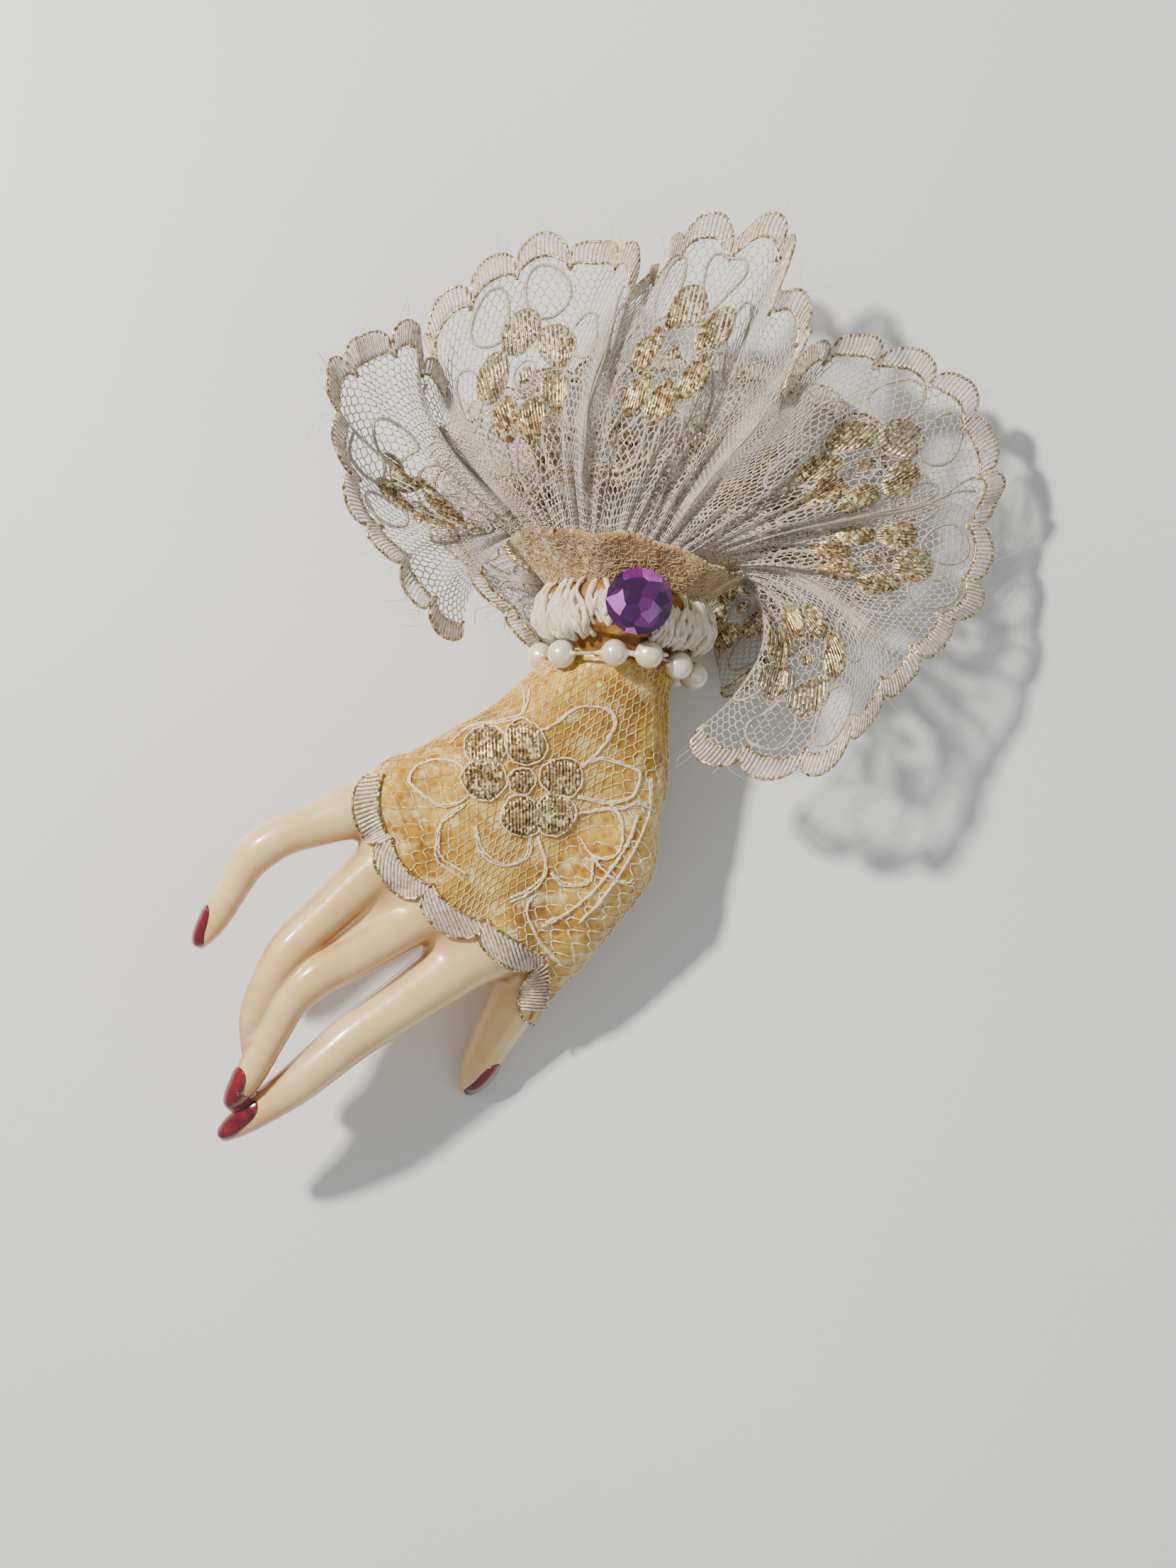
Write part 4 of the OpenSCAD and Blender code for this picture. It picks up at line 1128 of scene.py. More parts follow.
class HATPIN_OT_ruffle(bpy.types.Operator):
    """Makes both layers of the lace ruffle, thread by thread"""

    bl_idname = "hatpin.ruffle"
    bl_label = "Lace ruffle"

    def execute(self, context):
        settings = in_mm(context.scene.hatpin_lace)
        materials = (cotton_net(), outline_cord(), metal_thread(), satin_stitch())
        upper = gathered(RIM, HALF_WAY, FLOWERS_NEAR, 225.0, -35.0, 1.0, settings.depth, 5)
        make_ruffle(settings, upper, "ruffle", "ruffle", 11, materials)
        half_way = [[11.4 + 0.42 * (x - 6.9), 19.8 + 0.42 * (y - 19.8), 2.0] for x, y, _ in UNDER_RIM]
        under = gathered(UNDER_RIM, half_way, UNDER_RIM[1::2], -50.0, -130.0, 0.6, settings.depth, 8)
        make_ruffle(settings, under, "under_ruffle", "ruffle_under", 12, materials)
        return {"FINISHED"}


# ---------------------------------------------------------------- the glove

# Where the glove's hem runs, across the finger roots and down the side of the thumb.
HEM = [
    [-17.6, -0.6], [-17.4, -4.2], [-15.8, -8.4], [-12.4, -12.0], [-8.6, -14.7], [-4.2, -17.2],
    [-1.6, -19.8], [-2.6, -25.2],
]
# The glove's flat size in metres: round the hand, along it, and its hem's width.
GLOVE_ROUND = 0.046
GLOVE_LONG = 0.028
HEM_WIDE = 0.003
GLOVE_NET_SHARE = 0.305
# How much the satin ribs lean along the hem, in each of its scallops.
HEM_LEAN = [0.15, 0.9, 1.5, 1.1, 0.2]
# The back of the glove: a gold flower, its centre, and the cord that outlines the petals round it.
GLOVE_PETALS = [[-6.5, 2.2], [-2.8, 2.8], [0.6, -0.4], [-0.1, -4.0], [-3.3, -4.2], [-6.7, -0.7]]
GLOVE_CENTRE = [[-3.2, -0.8]]
GLOVE_CORDS = [
    [[-3.0, 4.4], [-0.8, 4.2], [2.2, 6.2], [5.0, 6.2], [5.8, 4.9], [4.8, 2.9], [2.6, 0.7]],
    [[2.4, 0.8], [4.8, 1.4], [7.9, 0.3], [8.1, -0.7], [7.4, -2.3], [5.2, -2.9], [2.2, -2.3]],
    [[1.8, -4.0], [5.5, -3.6], [6.5, -5.3], [6.3, -7.1], [5.7, -8.2], [3.7, -8.2], [2.2, -6.2]],
    [[-0.4, -9.7], [0.7, -10.8], [2.2, -11.0], [3.5, -10.3], [3.7, -8.6]],
    [[-1.7, -6.2], [-1.0, -8.6], [-1.3, -10.3], [-2.8, -11.7], [-4.3, -12.3]],
    [[-8.6, -3.1], [-10.6, -4.7], [-11.2, -6.4], [-11.0, -8.4], [-8.6, -10.2]],
    [[-8.2, -2.3], [-9.5, -3.1], [-11.2, -3.1], [-13.6, -1.4], [-13.9, -0.5], [-13.0, 0.5], [-11.0, 1.1],
     [-9.0, 0.7], [-8.4, -0.6]],
    [[-2.2, -12.1], [-2.8, -13.4], [-1.7, -16.3], [0.5, -18.7]],
    [[3.7, -8.2], [4.6, -9.4], [6.0, -10.6], [7.6, -11.0]],
    [[8.0, -4.2], [7.0, -7.0], [4.4, -10.8], [1.6, -13.4], [-1.2, -14.8]],
    [[9.2, -0.6], [9.0, -4.0], [7.4, -8.0], [4.6, -12.4], [2.4, -14.8]],
    [[5.2, -2.9], [6.6, -3.4], [8.0, -2.9], [9.6, -3.6]],
    [[-7.6, -5.2], [-7.0, -7.6], [-5.0, -9.0], [-2.9, -8.2], [-2.6, -6.2]],
    [[-9.9, 2.6], [-8.0, 4.2], [-5.6, 4.6], [-3.2, 5.4], [-2.6, 7.6]],
]


def hand_normals(points):
    """Which way the hand's surface faces near points: the field's slope by central differences."""
    grid, field = HAND["grid"], HAND["field"]
    steps = np.eye(3) * 0.35
    slopes = [grid.sample(field, points + s) - grid.sample(field, points - s) for s in steps]
    return unit(np.stack(slopes, -1))


def from_above(flat, height):
    """Drops flat places (x, y) onto the hand from above, then lifts them off its surface by height."""
    start = np.concatenate([flat, np.full((*flat.shape[:-1], 1), 21.0)], -1)
    reach = march(start, np.broadcast_to(np.array([0.0, 0.0, -1.0]), start.shape), 22.0)
    places = start - reach[..., None] * np.array([0.0, 0.0, 1.0])
    normals = hand_normals(places)
    return places + normals * height, normals


def from_around(flat, height):
    """Wraps flat places (down the hand, round it) onto the hand: rays out from an axis through the palm,
    with the way round taken as an angle on a circle of 9 mm."""
    a, b = np.array([6.0, 12.0, 8.6]), np.array([-9.5, -11.5, 9.2])
    ahead = unit(b - a)
    up = unit(np.array([0.0, 0.0, 1.0]) - ahead[2] * ahead)
    side = np.cross(ahead, up)
    angle = flat[..., 1:] / 9.0
    ray = np.cos(angle) * up + np.sin(angle) * side
    start = a + flat[..., :1] * ahead + ray * 15.0
    reach = march(start, -ray, 15.0)
    places = start - ray * reach[..., None]
    normals = hand_normals(places)
    return places + normals * height, normals, reach < 14.5


def edge_distance(x, y, outline):
    """Distance in plan from places to an outline, negative inside it."""
    outline = np.array(outline, float)
    a, b = outline, np.roll(outline, -1, 0)
    nearest = np.full(x.shape, 1e9)
    inside = np.zeros(x.shape, bool)
    for (ax, ay), (bx, by) in zip(a, b):
        dx, dy = bx - ax, by - ay
        t = np.clip(((x - ax) * dx + (y - ay) * dy) / (dx * dx + dy * dy), 0.0, 1.0)
        nearest = np.minimum(nearest, np.hypot(x - ax - t * dx, y - ay - t * dy))
        crosses = (ay > y) != (by > y)
        inside ^= crosses & (x < (bx - ax) * (y - ay) / (by - ay + 1e-9) + ax)
    return np.where(inside, -nearest, nearest)


GLOVE_OUTLINE = HEM + [[14.0, -22.0], [17.0, 4.0], [15.0, 11.2], [-3.0, 11.2], [-16.0, 5.0]]


class HATPIN_OT_glove(bpy.types.Operator):
    """Makes the lace glove: the glued skin, its net, its outlining cords, its gold flower and its satin
    hem"""

    bl_idname = "hatpin.glove"
    bl_label = "Lace glove"

    def execute(self, context):
        settings = in_mm(context.scene.hatpin_lace)
        grid, field = HAND["grid"], HAND["field"]
        x, y, z = np.meshgrid(*grid.axes, indexing="ij", sparse=True)
        above = np.meshgrid(grid.axes[0], grid.axes[1], indexing="ij")
        plan = edge_distance(*above, GLOVE_OUTLINE)[..., None]
        seat = np.maximum(np.maximum(np.abs(x) - 10.8, np.abs(y) - 3.2), z - SEAT_Z - 0.05)
        shell = np.maximum(np.maximum(np.maximum(field - 0.3, -field - 0.35), plan), -seat)
        points, faces = skin_of(grid, shell.astype(np.float32))
        skin = new_piece("glove_glued_skin", points, [faces], amber_glue(), "glove_lace")
        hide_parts("glove_lace")
        net = self.net(settings)
        cords = self.cords()
        hem, gold = self.hem()
        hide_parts("glove_hem")
        threads = max(half_area(net), GLOVE_ROUND * GLOVE_LONG * GLOVE_NET_SHARE)
        longer = GLOVE_LONG + HEM_WIDE
        min(half_area(skin), GLOVE_ROUND * longer)
        return {"FINISHED"}

    def net(self, settings):
        """The glove's net, wrapped round the hand and cut off at the hem."""
        round_hand, down_hand = 56.6, 36.0
        lines = net_lines(round_hand, 0.0, down_hand, settings.cell * 1.15, 21)
        flat = lines[..., ::-1] + np.array([-1.0, 0.0])
        flat = np.stack([flat[:, 0], flat.mean(1), flat[:, 1]], 1)
        places, normals, hit = from_around(flat, 0.33)
        plan = edge_distance(places[..., 0], places[..., 1], GLOVE_OUTLINE)
        short = np.linalg.norm(places[:, 0] - places[:, 2], axis=1) < 2.6
        under = (np.abs(places[..., 0]) < 11) & (np.abs(places[..., 1]) < 3.4) & (places[..., 2] < 5)
        keep = (plan < -0.2).all(1) & hit.all(1) & short & ~under.any(1)
        net = tubes(places[keep], normals[keep], 0.075, 4)
        return new_piece("glove_net", *net, glued_net_thread(), "glove_lace")

    def cords(self):
        """The soft cord round the petals on the back of the hand, and the rings round the gold petals."""
        parts = []
        for line in GLOVE_CORDS:
            flat = resample(spline(np.array(line, float), 8), 44)[None]
            rng = np.random.default_rng(len(parts) + 40)
            for strand in (-0.07, 0.07):
                wander = 0.7 * np.cumsum(rng.normal(0.0, 0.03, flat.shape), 1)
                wander = wander + rng.normal(0.0, 0.03, flat.shape)
                places, normals = from_above(flat + wander + strand, 0.40)
                parts.append(tubes(places, normals, rng.uniform(0.075, 0.15, (1, 44)), 6))
        rng = np.random.default_rng(31)
        for disc, radius in ((GLOVE_PETALS, 2.0), (GLOVE_CENTRE, 1.3)):
            rings = ring_lines(disc, radius, 30, 0.05)
            rings = rings + rng.normal(0.0, 0.05, rings.shape)
            places, normals = from_above(rings, 0.5)
            parts.append(tubes(places, normals, rng.uniform(0.07, 0.14, rings.shape[:2]), 6))
        cords = new_piece("glove_outline_cord", *join_parts(parts), glued_cord(), "glove_lace")
        return cords

    def hem(self):
        """The hem's scallops: satin ribs across the strip, and metal thread along both of its sides."""
        rail = resample(spline(np.array(HEM, float), 12), 400)
        ahead = unit(np.gradient(rail, axis=0))
        out = np.stack([ahead[:, 1], -ahead[:, 0]], -1)
        run = np.linalg.norm(np.diff(rail, axis=0), axis=1).sum()
        count = len(HEM_LEAN)

        def at(s, across):
            """Places in plan at s along the rail and across it."""
            k = np.clip(s / run * 399, 0, 399)
            base = np.stack([np.interp(k, np.arange(400), rail[:, c]) for c in (0, 1)], -1)
            way = np.stack([np.interp(k, np.arange(400), out[:, c]) for c in (0, 1)], -1)
            return base + unit(way) * across[..., None]

        width = run / count

        def sides(s):
            """The strip's two sides at s: a nearly straight one, and one that bows out in scallops."""
            bow = np.maximum(1.0 - (2.0 * ((s / width) % 1.0) - 1.0) ** 2, 0.0) ** 0.45
            return -1.5 + 0.7 * bow, -0.3 + 2.0 * bow

        parts = []
        for n in range(count):
            lean = HEM_LEAN[n]
            start = np.arange(n * width - 4.0, (n + 1) * width + 4.0, 0.34 * math.hypot(1.0, lean))
            across = np.linspace(-2.2, 2.2, 90)
            s = start[:, None] + lean * across
            low, high = sides(s)
            inside = (across > low) & (across < high) & (s > n * width) & (s < (n + 1) * width)
            first = np.where(inside, across, 9.0).min(1)
            last = np.where(inside, across, -9.0).max(1)
            some = last - first > 0.3
            across = first[some, None] + (last - first)[some, None] * np.linspace(0.0, 1.0, 14)
            parts.append(at(start[some, None] + lean * across, across))
        flat = np.concatenate(parts)
        places, normals = from_above(flat, 0.42)
        jump = np.linalg.norm(np.diff(places, axis=1), axis=2).max(1) < 1.6
        stitches = tubes(places[jump], normals[jump], 0.17, 5)
        hem = new_piece("hem_satin", *stitches, satin_stitch(), "glove_hem")
        line = np.linspace(0.02, run - 0.02, count * 24 + 1)
        parts = []
        for n in (0, 1):
            flat = cut_up(at(line, sides(line)[n])[None], 8)
            places, normals = from_above(flat, 0.5)
            jump = np.linalg.norm(np.diff(places, axis=1), axis=2).max(1) < 1.8
            parts.append(tubes(places[jump], normals[jump], 0.15, 5))
        gold = metal_thread()
        rng = np.random.default_rng(32)
        for disc, radius in ((GLOVE_PETALS, 1.82), (GLOVE_CENTRE, 0.95)):
            flat = ribs_in(np.array(disc), radius, 0.32, 1.0, 8)
            flat = flat + (flat - flat.mean(1, keepdims=True)) * rng.uniform(-0.18, 0.12, (len(flat), 1, 1))
            places, normals = from_above(flat, 0.5)
            parts.append(tubes(places, normals, 0.18, 5))
        return hem, new_piece("glove_metal_thread", *join_parts(parts), gold, "glove_hem")


def half_area(piece):
    """Half of a piece's surface, in square metres: what its cloth covers."""
    areas = np.empty(len(piece.data.polygons), np.float32)
    piece.data.polygons.foreach_get("area", areas)
    return float(areas.sum()) / 2


# ---------------------------------------------------------------- cuff, heading, pearls and stone

ARM = np.array([6.9, 0.0, 8.9])
# How far along the arm the string of pearls sags, in mm, at angles from the top towards the thumb.
SAG = [[-90, 0, 22, 49, 77, 104, 131, 158, 185, 212, 270],
       [0, 0, -0.15, -1.1, -1.9, -1.9, -1.5, -1.0, -0.5, -0.1, 0]]
CUFF_WALL = 0.55
# The cuff's flat size in metres: round it, and along the arm.
CUFF_ROUND = 0.036
CUFF_LONG = 0.0105


def round_arm(angle, y, radius):
    """Places round the forearm's axis, with angle 0 on the thumb's side and a quarter turn at the top."""
    return np.stack([ARM[0] + radius * np.cos(angle), y + 0 * angle, ARM[2] + radius * np.sin(angle)], -1)


class HATPIN_OT_trim(bpy.types.Operator):
    """Makes the felted cuff, the gathered heading and the glue ring at the wrist, the pearls on their thread, and
    the stone
    """

    bl_idname = "hatpin.trim"
    bl_label = "Cuff, heading, pearls and stone"

    def execute(self, context):
        settings = in_mm(context.scene.hatpin_trim)
        cuff, fluff = self.cuff()
        core, cotton = self.heading(settings)
        min(half_area(cuff), CUFF_ROUND * CUFF_LONG)
        self.pearls()
        self.stone(settings)
        return {"FINISHED"}

    def cuff(self):
        """The cuff flares from the wrist: radius 5.7 + 0.9 w + 4.9 w^2.4, and its edge is highest on the
        little finger's side and wavers. Fibres stand off it."""
        rng = np.random.default_rng(3)
        rows, columns = 240, 60
        angle = np.linspace(math.radians(-14), math.radians(194), rows)[:, None]
        w = np.linspace(0.0, 1.0, columns)[None, :]
        side = (1.0 + np.cos(angle)) / 2
        length = 10.6 - 5.0 * side**1.4 - 1.3 * (1 - side) ** 6
        length = length + 0.35 * np.sin(5 * angle + 1.0) + 0.18 * np.sin(13 * angle)
        radius = 5.7 + 0.9 * w + 4.9 * w**2.4
        radius = radius * (1 + 0.02 * np.sin(7 * angle + 2.0) * w) + 0.2 * np.sin(9 * angle) * w**2
        points = round_arm(angle + 0 * w, 13.1 + length * w, radius)
        fine = rng.normal(0.0, 0.035, (rows, columns, 1))
        normal = unit(np.cross(np.gradient(points, axis=1), np.gradient(points, axis=0)))
        outer = points + normal * fine
        wall = CUFF_WALL * unit(np.cross(np.gradient(outer, axis=1), np.gradient(outer, axis=0)))
        cuff = new_piece("cuff_felted_net", *closed_sheet(outer, outer - wall), felted_net(), "cuff_net")
        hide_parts("cuff")
        count = 2600
        i = rng.integers(1, rows - 1, count)
        j = (columns * rng.random(count) ** 0.7).astype(int).clip(1, columns - 2)
        base, normals = points[i, j], normal[i, j]
        way = unit(rng.normal(size=(count, 1, 3)))
        t = np.linspace(0.0, 1.0, 5)[None, :, None]
        size = rng.uniform(0.5, 1.5, (count, 1, 1))
        along = way - (way * normals[:, None]).sum(-1, keepdims=True) * normals[:, None]
        rise = 0.14 * np.sin(np.pi * t) - 0.02
        path = base[:, None] - along * size * 0.5 + along * size * t + normals[:, None] * rise
        aside = np.cross(along, np.broadcast_to(normals[:, None], along.shape))
        path = path + 0.12 * np.sin(t * 5 + i[:, None, None]) * aside
        fibres = tubes(path, np.broadcast_to(normals[:, None], path.shape), 0.034, 3)
        fluff = new_piece("cuff_fibres", *fibres, loose_fibre(), "cuff_net")
        return cuff, fluff

    def heading(self, settings):
        """The heading: a soft core round the arm, with loops of slubby cotton over it, each from end to end
        along the arm over the bulge h = (2.15 + lift) (sin pi w)^0.55."""
        rng = np.random.default_rng(9)
        angle = np.linspace(0.0, 2 * math.pi, 97)[:-1, None]
        q = np.linspace(0.0, 2 * math.pi, 25)[None, :-1]
        lean = 1.4 * (1.0 + np.cos(angle)) / 2
        core = round_arm(angle + 0 * q, 16.3 - lean + 2.3 * np.cos(q) * (1 - 0.15 * np.sin(3 * angle)),
                         7.35 + 1.1 * np.sin(q) + 0.1 * np.sin(9 * angle))
        faces = grid_faces(96, 24, True, True)
        core = new_piece("heading_core", core.reshape(-1, 3), [faces], browned_glue(), "heading_cotton")
        strands = settings.gathers * 5
        a = (np.arange(strands) + rng.uniform(-0.35, 0.35, strands)) * 2 * math.pi / strands
        bundle = np.round(a / (2 * math.pi) * settings.gathers) * 2 * math.pi / settings.gathers
        a = (bundle * 0.55 + a * 0.45)[:, None]
        w = np.linspace(0.0, 1.0, 14)[None, :]
        lean = 1.4 * (1.0 + np.cos(a)) / 2
        start = 13.3 + rng.uniform(-0.4, 0.6, (strands, 1)) - lean + 1.6 * np.exp(-((a - 1.62) / 0.42) ** 2)
        length = rng.uniform(3.6, 5.4, (strands, 1)) - 0.8 * np.exp(-((a - 1.62) / 0.42) ** 2)
        lift = rng.uniform(-0.4, 0.4, (strands, 1))
        radius = 6.5 + (2.15 + lift) * np.sin(math.pi * np.clip(w * 0.94 + 0.03, 0, 1)) ** 0.55
        drift = rng.normal(0.0, 0.075, (strands, 1)) * w
        drift = drift + 0.035 * np.sin(w * 7 + rng.uniform(0, 6, (strands, 1)))
        path = round_arm(a + drift, start + length * w, radius)
        outward = unit(path - np.stack([ARM[0] + 0 * radius, path[..., 1], ARM[2] + 0 * radius], -1))
        thick = 0.24 + 0.08 * np.sin(w * 15 + a * 53) + rng.uniform(-0.07, 0.14, (strands, 1))
        yarns = tubes(path, outward, thick * (1 - 0.5 * w**6), 7)
        cotton = new_piece("heading_cotton", *yarns, gathered_cotton(), "heading_cotton")
        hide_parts("heading")
        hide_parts("heading")
        # The ring round the wrist, under the pearls and up to the heading: browned glue, and also painted shade,
        # dark brown where shade falls between the heading and the pearls.
        t = np.linspace(0.0, 1.0, 22)[None, :]
        round_ = np.linspace(0.0, 2 * math.pi, 121)[:-1, None]
        wobble = 0.22 * np.sin(9 * round_ + 1.0) + 0.14 * np.sin(23 * round_)
        y = 14.4 - 3.1 * t - 0.9 * (1 + np.cos(round_)) / 2 + wobble * t
        radius = 7.6 - 2.2 * t**0.6 + 0.10 * np.sin(17 * round_ + 9 * t)
        shade_brown = round_arm(round_ + 0 * t, y, radius)
        inner = round_arm(round_ + 0 * t, y + 0.1, 5.1 + 0 * t)[:, ::-1]
        ring = np.concatenate([shade_brown, inner], 1)
        new_piece("wrist_glue_and_shade", ring.reshape(-1, 3), [grid_faces(120, 44, True, True)], browned_glue(),
                  "heading_cotton")
        return core, cotton

    def pearls(self):
        """Twelve pearls strung round the wrist. A pearl is turned about its thread: r = R (1 - x^2)^0.5,
        which runs out into a drawn neck r = R (0.13 + 0.32 e^(-7 (|x| - 0.9))) past its side."""
        centre, ring = np.array([6.2, 11.4, 8.3]), 7.75
        degrees = np.array([-80, -45, -3, 22, 49, 77, 104, 131, 158, 185, 212, 239], float)
        big = 1.36
        across = np.cos(np.linspace(math.pi, 0.0, 19))[1:-1]
        x = np.concatenate([np.linspace(-1.5, -1.0, 7), across, np.linspace(1.0, 1.5, 7)])
        body = np.sqrt(np.maximum(1.0 - x**2, 0.0))
        neck = 0.13 + 0.32 * np.exp(-7.0 * (np.abs(x) - 0.90).clip(0))
        profile = np.where(np.abs(x) < 0.90, np.maximum(body, 0.30), np.minimum(neck, 0.45))
        profile[0] = profile[-1] = 0.02
        q = np.linspace(0.0, 2 * math.pi, 21)[:-1]
        parts = []
        for n, degree in enumerate(degrees):
            angle = math.radians(degree)
            up = np.array([math.sin(angle), 0.0, math.cos(angle)])
            ahead = np.array([math.cos(angle), 0.0, -math.sin(angle)])
            side = np.array([0.0, 1.0, 0.0])
            stretch = 1.0 if n in (2, 3, 7) else 0.82
            size = big * (1.0 + 0.03 * math.sin(n * 2.3))
            sag = np.array([0.0, float(np.interp(degree, SAG[0], SAG[1])), 0.0])
            far = np.abs(x)
            far = size * np.sign(x) * np.where(far > 0.9, 0.9 + (far - 0.9) * stretch, far)
            spoke = np.cos(q)[None, :, None] * up + np.sin(q)[None, :, None] * side
            places = centre + sag + up * ring + ahead * far[:, None, None]
            places = places + size * profile[:, None, None] * spoke
            faces = grid_faces(len(x), 20, False, True)
            count = len(x) * 20
            ends = [np.arange(20)[None, :], (count - 20 + np.arange(20))[None, ::-1]]
            parts.append((places.reshape(-1, 3), [faces, *ends]))
        pearls = new_piece("pearls", *join_parts(parts), pearl_coat(), "pearl")
        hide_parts(*[f"pearl_{n + 1}" for n in range(12)])
        angle = np.linspace(0.0, 2 * math.pi, 181)[:-1, None]
        q = np.linspace(0.0, 2 * math.pi, 9)[None, :-1]
        radius = ring + 0.17 * np.cos(q) + 0.03 * np.cos(angle * 60 + q)
        sag = np.interp((np.degrees(angle) + 90) % 360 - 90, SAG[0], SAG[1])
        places = np.stack([centre[0] + radius * np.sin(angle), centre[1] + sag + 0.17 * np.sin(q),
                           centre[2] + radius * np.cos(angle)], -1)
        thread = new_piece("bead_thread_visual", places.reshape(-1, 3), [grid_faces(180, 8, True, True)],
                           outline_cord(), "bead_thread")
        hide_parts("bead_thread")

    def stone(self, settings):
        """The stone: a rose cut of sixteen sides, flat below, with rings of eight facets that meet in a low
        point."""
        x, y, z = 8.1, 16.1, 18.35
        r = settings.stone / 2
        rings = [(r * 0.97, 0.0, 16, 0.0), (r, 0.42, 16, 0.0), (r * 0.74, 1.22, 8, 0.5),
                 (r * 0.40, 1.78, 8, 0.0)]
        points = []
        for radius, h, n, turn in rings:
            a = (np.arange(n) + turn) * 2 * math.pi / n
            points.append(np.stack([x + radius * np.cos(a), y + radius * np.sin(a), np.full(n, z + h)], -1))
        points.append(np.array([[x, y, z + 2.1]]))
        starts = np.cumsum([0] + [len(p) for p in points])
        i = np.arange(16)
        girdle = np.stack([i, (i + 1) % 16, 16 + (i + 1) % 16, 16 + i], -1)
        k = np.arange(8)
        a, b, c = starts[1], starts[2], starts[3]
        kites = [
            np.stack([a + (2 * k) % 16, a + (2 * k + 1) % 16, b + k], -1),
            np.stack([a + (2 * k + 1) % 16, a + (2 * k + 2) % 16, b + k], -1),
            np.stack([a + (2 * k + 2) % 16, b + (k + 1) % 8, b + k], -1),
            np.stack([b + k, b + (k + 1) % 8, c + (k + 1) % 8], -1),
            np.stack([b + k, c + (k + 1) % 8, c + k], -1),
            np.stack([c + k, c + (k + 1) % 8, np.full(8, starts[4])], -1),
        ]
        back = np.arange(16)[None, ::-1]
        stone = new_piece("rose_cut_stone", np.concatenate(points), [girdle, np.concatenate(kites), back],
                          foiled_glass(settings.purple), "purple_stone", smooth=False)
        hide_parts("stone")


class HATPIN_OT_finding(bpy.types.Operator):
    """Gives the pin finding, the foil and the glue their materials"""

    bl_idname = "hatpin.finding"
    bl_label = "Pin finding"

    def execute(self, context):
        for material, names in (
            (nickel_plate(), ("pin_bar", "pin_catch", "hinge_rivet")),
            (gilt_brass(), ("catch_lock",)),
            (drawn_steel(), ("pin_stem",)),
            (lacquered_foil(), ("stone_foil",)),
            (hard_glue(), ("stone_glue", "glue_pad")),
        ):
            for name in names:
                for place in bpy.data.objects[name].material_slots:
                    place.material = material
        return {"FINISHED"}


# ---------------------------------------------------------------- the stage


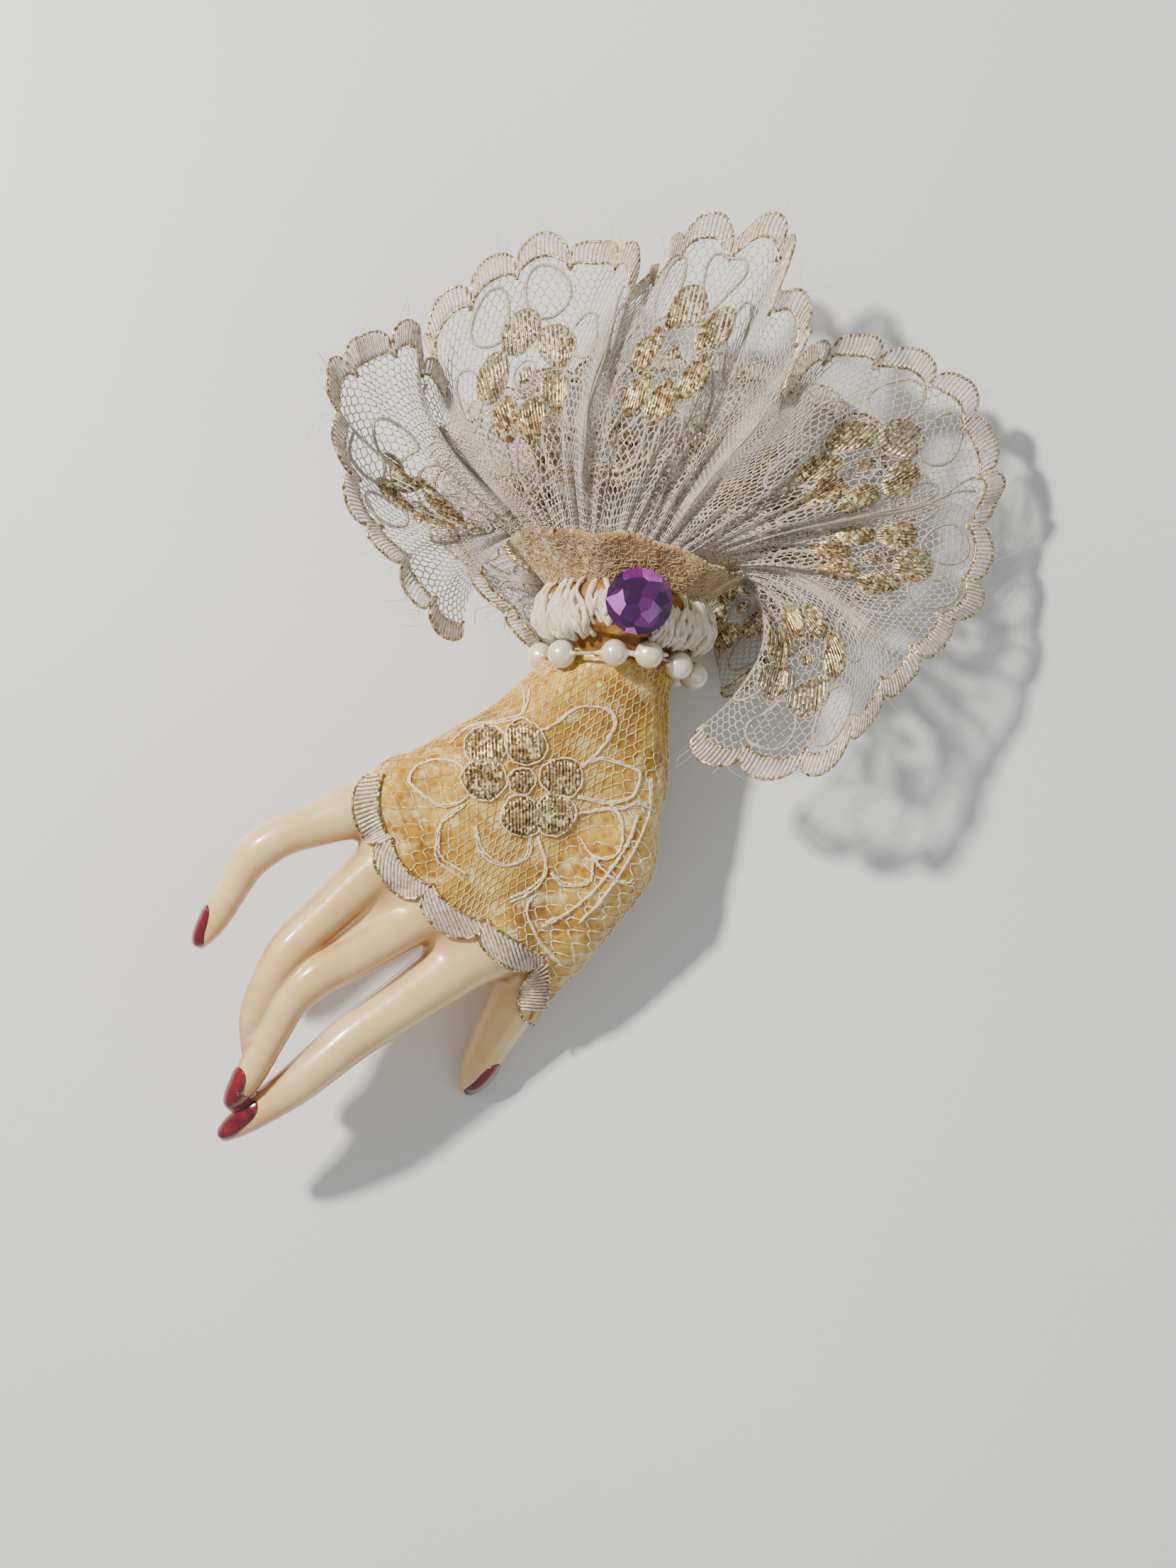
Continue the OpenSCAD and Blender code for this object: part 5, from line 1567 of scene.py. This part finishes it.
class HATPIN_OT_stage(bpy.types.Operator):
    """Sets the camera, the lights, the room and the white table"""

    bl_idname = "hatpin.stage"
    bl_label = "Stage"

    def execute(self, context):
        scene = context.scene
        lens = bpy.data.cameras.new("camera")
        lens.lens, lens.sensor_width, lens.clip_start = 53.4, 36.0, 0.01
        camera = bpy.data.objects.new("camera", lens)
        camera.location = (3.26 * MM, -1.16 * MM, 238.4 * MM)
        scene.collection.objects.link(camera)
        scene.camera = camera
        for name, place, size, power, colour in (
            ("key", (-0.270, 0.208, 0.366), 0.034, 4.3, (1.0, 0.96, 0.90)),
            ("fill", (0.45, -0.35, 0.55), 0.5, 0.7, (0.93, 0.96, 1.0)),
        ):
            data = bpy.data.lights.new(name, "AREA")
            data.size, data.energy, data.color = size, power, colour
            lamp = bpy.data.objects.new(name, data)
            lamp.location = place
            aim = -lamp.location.normalized()
            lamp.rotation_euler = aim.to_track_quat("-Z", "Y").to_euler()
            scene.collection.objects.link(lamp)
        world = bpy.data.worlds.new("room")
        world.use_nodes = True
        world.node_tree.nodes["Background"].inputs["Color"].default_value = linear("#E9ECEF")
        world.node_tree.nodes["Background"].inputs["Strength"].default_value = 0.52
        scene.world = world
        mesh = bpy.data.meshes.new("table")
        corners = [(-1, -1), (1, -1), (1, 1), (-1, 1)]
        points = [(x * TABLE_HALF, y * TABLE_HALF, TABLE_Z * MM) for x, y in corners]
        mesh.from_pydata(points, [], [(0, 1, 2, 3)])
        mesh.materials.append(white_laminate())
        table = bpy.data.objects.new("table", mesh)
        scene.collection.objects.link(table)
        return {"FINISHED"}


def white_laminate():
    """Smooth white laminate of the table: pale, faintly clouded, with a soft gloss."""
    material, tree, shader, at = new_material("white_laminate")
    cloud = add_node(tree, NOISE, "Fac", Vector=at, Scale=per_mm(0.009), Detail=2.0)
    dress(tree, shader, Roughness=0.28,
          Base_Color=add_node(tree, RAMP, "Color", stops=[(0.3, "#DEDFDE"), (0.7, "#E6E7E6")], Fac=cloud))
    return material


# ---------------------------------------------------------------- panel and main


class HATPIN_PT_panel(bpy.types.Panel):
    """Shows the hat pin's settings and the buttons that make its pieces"""

    bl_idname = "HATPIN_PT_panel"
    bl_label = "Hat Pin"
    bl_space_type = "VIEW_3D"
    bl_region_type = "UI"
    bl_category = "Hat Pin"

    def draw(self, context):
        for group in (context.scene.hatpin_hand, context.scene.hatpin_lace, context.scene.hatpin_trim):
            for name in group.__annotations__:
                self.layout.prop(group, name)
        for operator in OPERATORS:
            self.layout.operator(operator.bl_idname)


OPERATORS = (HATPIN_OT_stage, HATPIN_OT_hand, HATPIN_OT_glove, HATPIN_OT_ruffle, HATPIN_OT_trim,
             HATPIN_OT_finding)
GROUPS = (("hatpin_hand", HandSettings), ("hatpin_lace", LaceSettings), ("hatpin_trim", TrimSettings))


def register():
    """Registers the settings, the operators and the panel, and hangs the settings on the scene."""
    for _, group in GROUPS:
        bpy.utils.register_class(group)
    for operator in (*OPERATORS, HATPIN_PT_panel):
        bpy.utils.register_class(operator)
    for name, group in GROUPS:
        setattr(bpy.types.Scene, name, PointerProperty(type=group))


def unregister():
    """Undoes register, last thing first."""
    for name, _ in GROUPS:
        delattr(bpy.types.Scene, name)
    for operator in (HATPIN_PT_panel, *reversed(OPERATORS)):
        bpy.utils.unregister_class(operator)
    for _, group in reversed(GROUPS):
        bpy.utils.unregister_class(group)


def main():
    """Makes every piece in order."""
    register()
    for operator in OPERATORS:
        group, name = operator.bl_idname.split(".")
        getattr(getattr(bpy.ops, group), name)()


if __name__ == "__main__":
    main()
